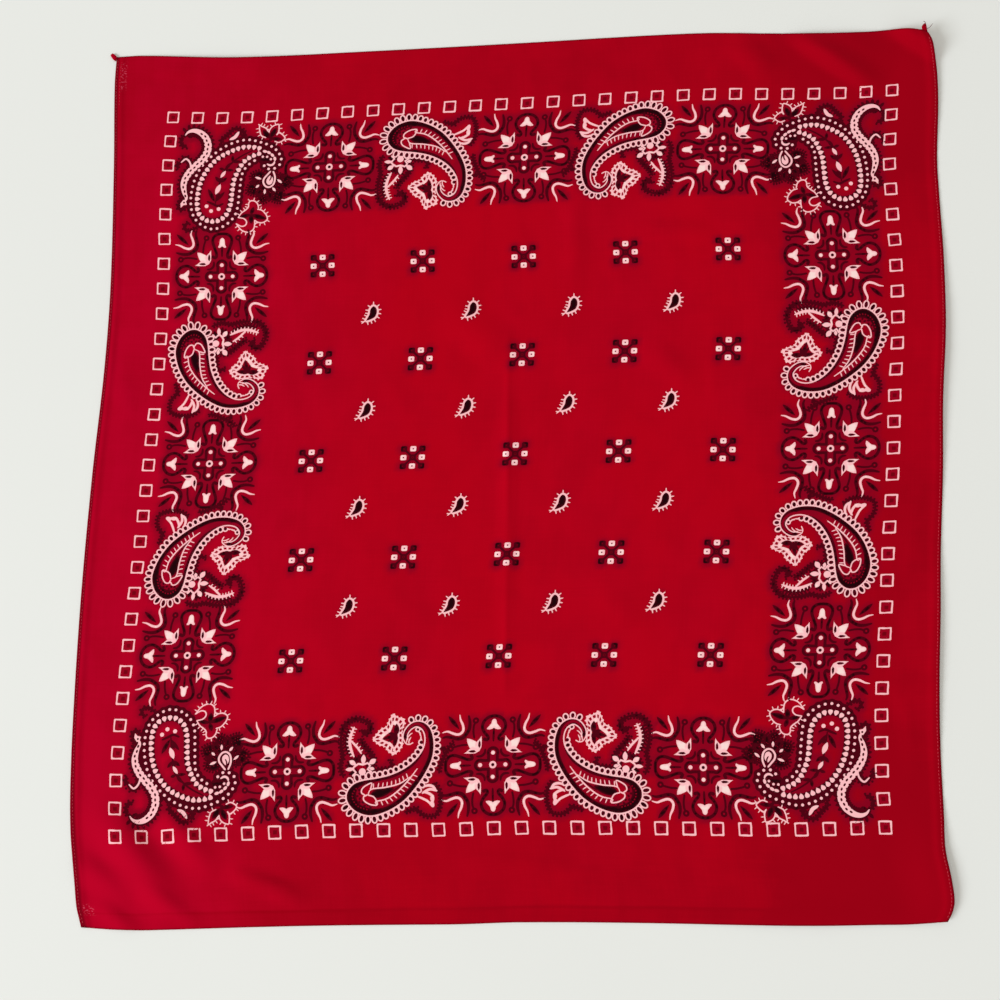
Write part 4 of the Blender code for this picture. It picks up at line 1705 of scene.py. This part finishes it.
def make_loose_thread():
    """The cut ends of sewing thread and frayed yarn at the top right corner."""
    _, _, colours, _ = settings()
    corner = laid_at(1.0, 1.0)
    height = float(sum(fold_height(fold, *corner) for fold in FOLDS)) + CORNER_LIFT
    x, y = (float(value) for value in drawn_in(*corner, height))
    curve = bpy.data.curves.new("loose_thread", "CURVE")
    curve.dimensions = "3D"
    curve.bevel_depth, curve.bevel_resolution = STRAND_RADIUS, 2
    for strand in STRANDS:
        spline = curve.splines.new("POLY")
        line = through(strand, step=0.25)
        spline.points.add(len(line) - 1)
        for i, spot in enumerate(line):
            z = height + 0.8 + 0.6 * math.sin(3.0 * i / len(line))
            place = (x + spot.real, y + spot.imag, z)
            spline.points[i].co = (*(value * MM for value in place), 1)
    curve.materials.append(plain_finish("frayed yarn", colours.dark_edge, colours.rim, 0.8, 900))
    piece = bpy.data.objects.new("loose_thread", curve)
    bpy.context.scene.collection.objects.link(piece)
    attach(piece, BODY)


# Where the print lies on the cloth: the share of its width and of its height at a place of
# the ring of squares, each a sum of sizes times powers of s and t, which run from -1 to 1
# across and up the ring.
Bend = namedtuple("Bend", "size s t")
ACROSS = table_of(
    Bend,
    (0.5054, 0, 0), (0.4385, 1, 0), (0.0045, 0, 1), (-0.0171, 0, 2), (0.0037, 0, 3), (0.0135, 0, 4),
    (0.0024, 1, 1), (0.0076, 1, 2), (-0.0049, 1, 3), (-0.0034, 1, 4), (-0.0037, 3, 2),
)
UP = table_of(
    Bend,
    (0.5116, 0, 0), (0.4109, 0, 1), (0.0075, 0, 2), (0.0023, 0, 3), (-0.0063, 0, 4),
    (-0.0025, 1, 0), (0.0076, 3, 0), (-0.0046, 5, 0), (0.0027, 1, 1), (-0.0027, 1, 3),
    (0.0010, 3, 2),
)

RING = 14
CHECK_STEP = 3.875
DROP_STEP = 3.83
DROP_SHIFT = -0.07

# Where the border's figures stand, in pitches from the print's middle.
Spot = namedtuple("Spot", "u v")
TOP_MEDALLIONS = table_of(Spot, (-7.55, 11.75), (0.05, 11.75), (7.65, 11.75))
BOTTOM_MEDALLIONS = table_of(Spot, (-7.55, -11.85), (0.0, -11.75), (7.6, -11.85))
LEFT_MEDALLIONS = table_of(Spot, (-11.7, 7.5), (-11.65, 0.05), (-11.7, -7.4))
RIGHT_MEDALLIONS = table_of(Spot, (11.65, 7.5), (11.7, 0.05), (11.7, -7.55))
ROW_PAISLEYS = table_of(Spot, (-3.7, 11.65), (3.8, 11.7), (-3.7, -11.65), (3.75, -11.65))
SIDE_PAISLEYS = table_of(Spot, (-11.55, 3.75), (11.55, 3.75), (-11.55, -3.6), (11.55, -3.65))
CORNER_PAISLEYS = table_of(Spot, (-11.67, 11.55), (11.82, 11.5), (-11.67, -11.55), (11.72, -11.65))


def print_share(u, v):
    """The cloth's shares of width and height at these pitches from the print's middle."""
    s, t = u / RING, v / RING
    return tuple(sum(b.size * s**b.s * t**b.t for b in bends) for bends in (ACROSS, UP))


def stamps():
    """Every motif's flat layers with where it goes, in pitches, and how it is turned."""
    _, plan, _, _ = settings()
    grain = plan.grain / MM
    chance = random.Random(11)
    made = []

    def stamp(layers, u, v, flip_x=False, flip_y=False, turn=0.0):
        made.append((layers, complex(u, v), flip_x, flip_y, turn))

    squares = [ring_square(plan.side / MM, chance).cut(grain) for _ in range(9)]
    for i in range(-RING, RING):
        for u, v in ((i, RING), (RING, -i), (-i, -RING), (-RING, i)):
            stamp(squares[chance.randrange(len(squares))], u, v)
    check = nine_check().cut(grain)
    for i in range(-2, 3):
        for j in range(-2, 3):
            stamp(check, i * CHECK_STEP, j * CHECK_STEP)
    drop = small_paisley().cut(grain)
    for i in (-1.5, -0.5, 0.5, 1.5):
        for j in (-1.5, -0.5, 0.5, 1.5):
            stamp(drop, i * DROP_STEP + DROP_SHIFT, j * DROP_STEP)
    round_figure = medallion().cut(grain)
    for u, v in TOP_MEDALLIONS + BOTTOM_MEDALLIONS:
        stamp(round_figure, u, v)
    for u, v in LEFT_MEDALLIONS + RIGHT_MEDALLIONS:
        stamp(round_figure, u, v, turn=90)
    paisley = side_paisley().cut(grain, 2.0, 1.015, 1.015)
    for u, v in ROW_PAISLEYS:
        stamp(paisley, u, v, flip_x=u > 0, flip_y=v < 0)
    for u, v in SIDE_PAISLEYS:
        stamp(paisley, u, v, flip_y=u * v < 0, turn=-90 if v > 0 else 90)
    corner = corner_paisley().cut(grain, 2.0, 1.045, 1.02)
    for u, v in CORNER_PAISLEYS:
        stamp(corner, u, v, flip_x=u < 0, flip_y=v > 0)
    return made


def clear_of_cloth(lay, shares, triangles, points, normals, rise):
    """The points raised wherever cloth would stand through the middle of an edge."""
    for first, second in ((0, 1), (1, 2), (2, 0)):
        a, b = triangles[:, first], triangles[:, second]
        middle = (shares[a] + shares[b]) / 2
        under, normal = lay.place(middle[:, 0], middle[:, 1], rise)
        short = ((under - (points[a] + points[b]) / 2) * normal).sum(axis=1)
        lifted = np.zeros(len(points))
        for ends in (a, b):
            np.maximum.at(lifted, ends, np.clip(short, 0, None))
        points = points + normals * lifted[:, None]
    return points


def stamped(pitch):
    """For each ink the shares of all its points, how near an edge each lies, and its faces."""
    gathered = {ink: ([], [], []) for ink in (WHITE, DARK, SHADE, SPOT)}
    for layers, centre, flip_x, flip_y, turn in stamps():
        for ink, (spots, at_rim, triangles) in layers.items():
            used = np.unique(triangles)
            fresh = np.zeros(len(spots), int)
            fresh[used] = np.arange(len(used))
            local = spots[used]
            if flip_x:
                local = -local.conjugate()
            if flip_y:
                local = local.conjugate()
            local = local * cmath.rect(1, math.radians(turn)) / pitch + centre
            shares, rims, faces = gathered[ink]
            corners = fresh[triangles] + sum(len(rim) for rim in rims)
            faces.append(corners[:, ::-1] if flip_x != flip_y else corners)
            shares.append(np.stack(print_share(local.real, local.imag), axis=-1))
            rims.append(at_rim[used])
    return {ink: [np.concatenate(parts) for parts in lists] for ink, lists in gathered.items()}


def make_print():
    """The ink of each colour as a film on the cloth, one piece for each."""
    cloth, plan, colours, _ = settings()
    lay = Lay(cloth)
    tints = {
        WHITE: (colours.white, colours.bleed),
        DARK: (colours.dark, colours.dark_edge),
        SHADE: (colours.shade, colours.shade),
        SPOT: (colours.spot, colours.spot),
    }
    rise = cloth.thickness / 2 + plan.lift
    pieces = []
    for ink, (shares, rims, triangles) in stamped(plan.pitch / MM).items():
        name = f"print_{ink}"
        points, normals = lay.place(shares[:, 0], shares[:, 1], rise)
        points = clear_of_cloth(lay, shares, triangles, points, normals, rise)
        material = ink_finish(f"print {ink} ink", cloth, *tints[ink])
        uv = shares * (cloth.width, cloth.height)
        piece = make_piece(name, points, triangles.tolist(), material, uv, normals, rims)
        if ink == DARK:
            spread_haze(bpy.data.objects["cloth"].data, cloth, shares, triangles)
        pieces.append(piece)
    return pieces


# The dark ink is counted in cells this wide, and tints the cloth by HAZE_GAIN times its
# share of them, up to HAZE_MOST.
HAZE_CELL, HAZE_GAIN, HAZE_MOST = 0.0012, 3.2, 0.85


def spread_haze(mesh, cloth, shares, faces):
    """Stores on the cloth how much of it round each point is dark ink."""
    corners = shares[faces] * (cloth.width, cloth.height)
    first, second = corners[:, 1] - corners[:, 0], corners[:, 2] - corners[:, 0]
    areas = np.abs(first[:, 0] * second[:, 1] - first[:, 1] * second[:, 0]) / 2
    shape = (math.ceil(cloth.width / HAZE_CELL), math.ceil(cloth.height / HAZE_CELL))
    span = [(0, count * HAZE_CELL) for count in shape]
    area, _, _ = np.histogram2d(*corners.mean(axis=1).T, shape, span, weights=areas)
    cover = area / HAZE_CELL**2
    for axis in (0, 1, 0, 1, 0, 1):
        cover = sum(np.roll(cover, step, axis) for step in range(-1, 2)) / 3
    places = np.empty((len(mesh.vertices), 2), np.float32)
    uv = np.empty(len(mesh.loops) * 2, np.float32)
    mesh.uv_layers[THREADS].uv.foreach_get("vector", uv)
    index = np.empty(len(mesh.loops), np.int32)
    mesh.loops.foreach_get("vertex_index", index)
    places[index] = uv.reshape(-1, 2)
    i = np.clip((places[:, 0] / HAZE_CELL).astype(int), 0, shape[0] - 1)
    j = np.clip((places[:, 1] / HAZE_CELL).astype(int), 0, shape[1] - 1)
    haze = np.clip(cover[i, j] * HAZE_GAIN, 0, HAZE_MOST)
    attribute = mesh.attributes.new(HAZE, "FLOAT", "POINT")
    attribute.data.foreach_set("value", haze.astype(np.float32))


# Half the floor's side and the lamp's place, in metres, and the tints of lamp and sky.
FLOOR_REACH = 3.0
LAMP_PLACE, LAMP_SIZE, LAMP_TINT = (-6.0, -2.6, 3.4), (3.0, 2.6), (0.94, 0.98, 1.0)
SKY_TINT = (1.0, 0.975, 0.90)


def make_stage():
    """The floor, the camera, the sky and one broad lamp to the left."""
    _, _, colours, studio = settings()
    scene = bpy.context.scene
    mesh = bpy.data.meshes.new("floor")
    corners = ((-1, -1), (1, -1), (1, 1), (-1, 1))
    corners = [(x * FLOOR_REACH, y * FLOOR_REACH, 0) for x, y in corners]
    mesh.from_pydata(corners, [], [(0, 1, 2, 3)])
    second = [c * 0.97 for c in colours.floor]
    mesh.materials.append(plain_finish("pale floor", colours.floor, second, 0.9, 3.0))
    floor = bpy.data.objects.new("floor", mesh)
    scene.collection.objects.link(floor)
    floor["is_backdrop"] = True

    camera = bpy.data.objects.new("camera", bpy.data.cameras.new("camera"))
    camera.data.lens, camera.data.sensor_width = studio.lens, studio.sensor
    camera.location = studio.place
    camera.rotation_euler = Euler(studio.tilt)
    scene.collection.objects.link(camera)
    scene.camera = camera

    world = bpy.data.worlds.new("studio")
    world.use_nodes = True
    backdrop = world.node_tree.nodes["Background"]
    backdrop.inputs["Color"].default_value = colour4(SKY_TINT)
    backdrop.inputs["Strength"].default_value = studio.sky
    scene.world = world

    lamp = bpy.data.lights.new("window", "AREA")
    lamp.shape = "RECTANGLE"
    lamp.size, lamp.size_y = LAMP_SIZE
    lamp.energy, lamp.color = studio.window, LAMP_TINT
    light = bpy.data.objects.new("window", lamp)
    light.location = LAMP_PLACE
    light.rotation_euler = (-Vector(LAMP_PLACE)).to_track_quat("-Z", "Y").to_euler()
    scene.collection.objects.link(light)
    scene.view_settings.view_transform = "Standard"


# ---------------------------------------------------------------------------------------
# The add-on


class BANDANA_OT_cloth(bpy.types.Operator):
    """Make the square of thin cloth, with its creases and lifted sides"""

    bl_idname = "bandana.cloth"
    bl_label = "Cloth"

    def execute(self, context):
        make_cloth()
        return {"FINISHED"}


class BANDANA_OT_hems(bpy.types.Operator):
    """Make the layers turned under the left and right sides"""

    bl_idname = "bandana.hems"
    bl_label = "Hems"

    def execute(self, context):
        make_hem("turned_hem_left", "hem_left", True, LEFT_HEM_END)
        make_hem("turned_hem_right", "hem_right", False, RIGHT_HEM_END)
        return {"FINISHED"}


class BANDANA_OT_stitches(bpy.types.Operator):
    """Sew the hems, and leave the ends of the thread at the corner"""

    bl_idname = "bandana.stitches"
    bl_label = "Stitches"

    def execute(self, context):
        make_stitches()
        make_loose_thread()
        return {"FINISHED"}


class BANDANA_OT_print(bpy.types.Operator):
    """Print the paisley border, the ring of squares and the field of small figures"""

    bl_idname = "bandana.print"
    bl_label = "Print"

    def execute(self, context):
        pieces = make_print()
        cloth = bpy.context.scene.bandana_cloth
        flat = (cloth.width + 2 * cloth.hem_width, cloth.height)
        return {"FINISHED"}


class BANDANA_OT_stage(bpy.types.Operator):
    """Set up the floor, the lights and the camera"""

    bl_idname = "bandana.stage"
    bl_label = "Studio"

    def execute(self, context):
        make_stage()
        return {"FINISHED"}


OPERATORS = (
    BANDANA_OT_stage,
    BANDANA_OT_cloth,
    BANDANA_OT_hems,
    BANDANA_OT_stitches,
    BANDANA_OT_print,
)
GROUPS = {
    "bandana_cloth": BandanaCloth,
    "bandana_print": BandanaPrint,
    "bandana_colours": BandanaColours,
    "bandana_studio": BandanaStudio,
}


class BANDANA_PT_panel(bpy.types.Panel):
    """The bandana's settings and its steps"""

    bl_idname = "BANDANA_PT_panel"
    bl_label = "Bandana"
    bl_space_type = "VIEW_3D"
    bl_region_type = "UI"
    bl_category = "Bandana"

    def draw(self, context):
        for operator in OPERATORS:
            self.layout.operator(operator.bl_idname)
        for name, group in GROUPS.items():
            box = self.layout.box()
            box.label(text=group.__name__)
            for setting in group.__annotations__:
                box.prop(getattr(context.scene, name), setting)


def register():
    for item in (*GROUPS.values(), *OPERATORS, BANDANA_PT_panel):
        bpy.utils.register_class(item)
    for name, group in GROUPS.items():
        setattr(bpy.types.Scene, name, bpy.props.PointerProperty(type=group))


def unregister():
    for name in GROUPS:
        delattr(bpy.types.Scene, name)
    for item in (BANDANA_PT_panel, *reversed(OPERATORS), *reversed(GROUPS.values())):
        bpy.utils.unregister_class(item)


def main():
    register()
    bpy.ops.bandana.stage()
    bpy.ops.bandana.cloth()
    bpy.ops.bandana.hems()
    bpy.ops.bandana.stitches()
    bpy.ops.bandana.print()
    sizes = {"cad": CAD_BOX, "visual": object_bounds()}
    {name: [list(corner) for corner in box] for name, box in sizes.items()}


if __name__ == "__main__":
    main()
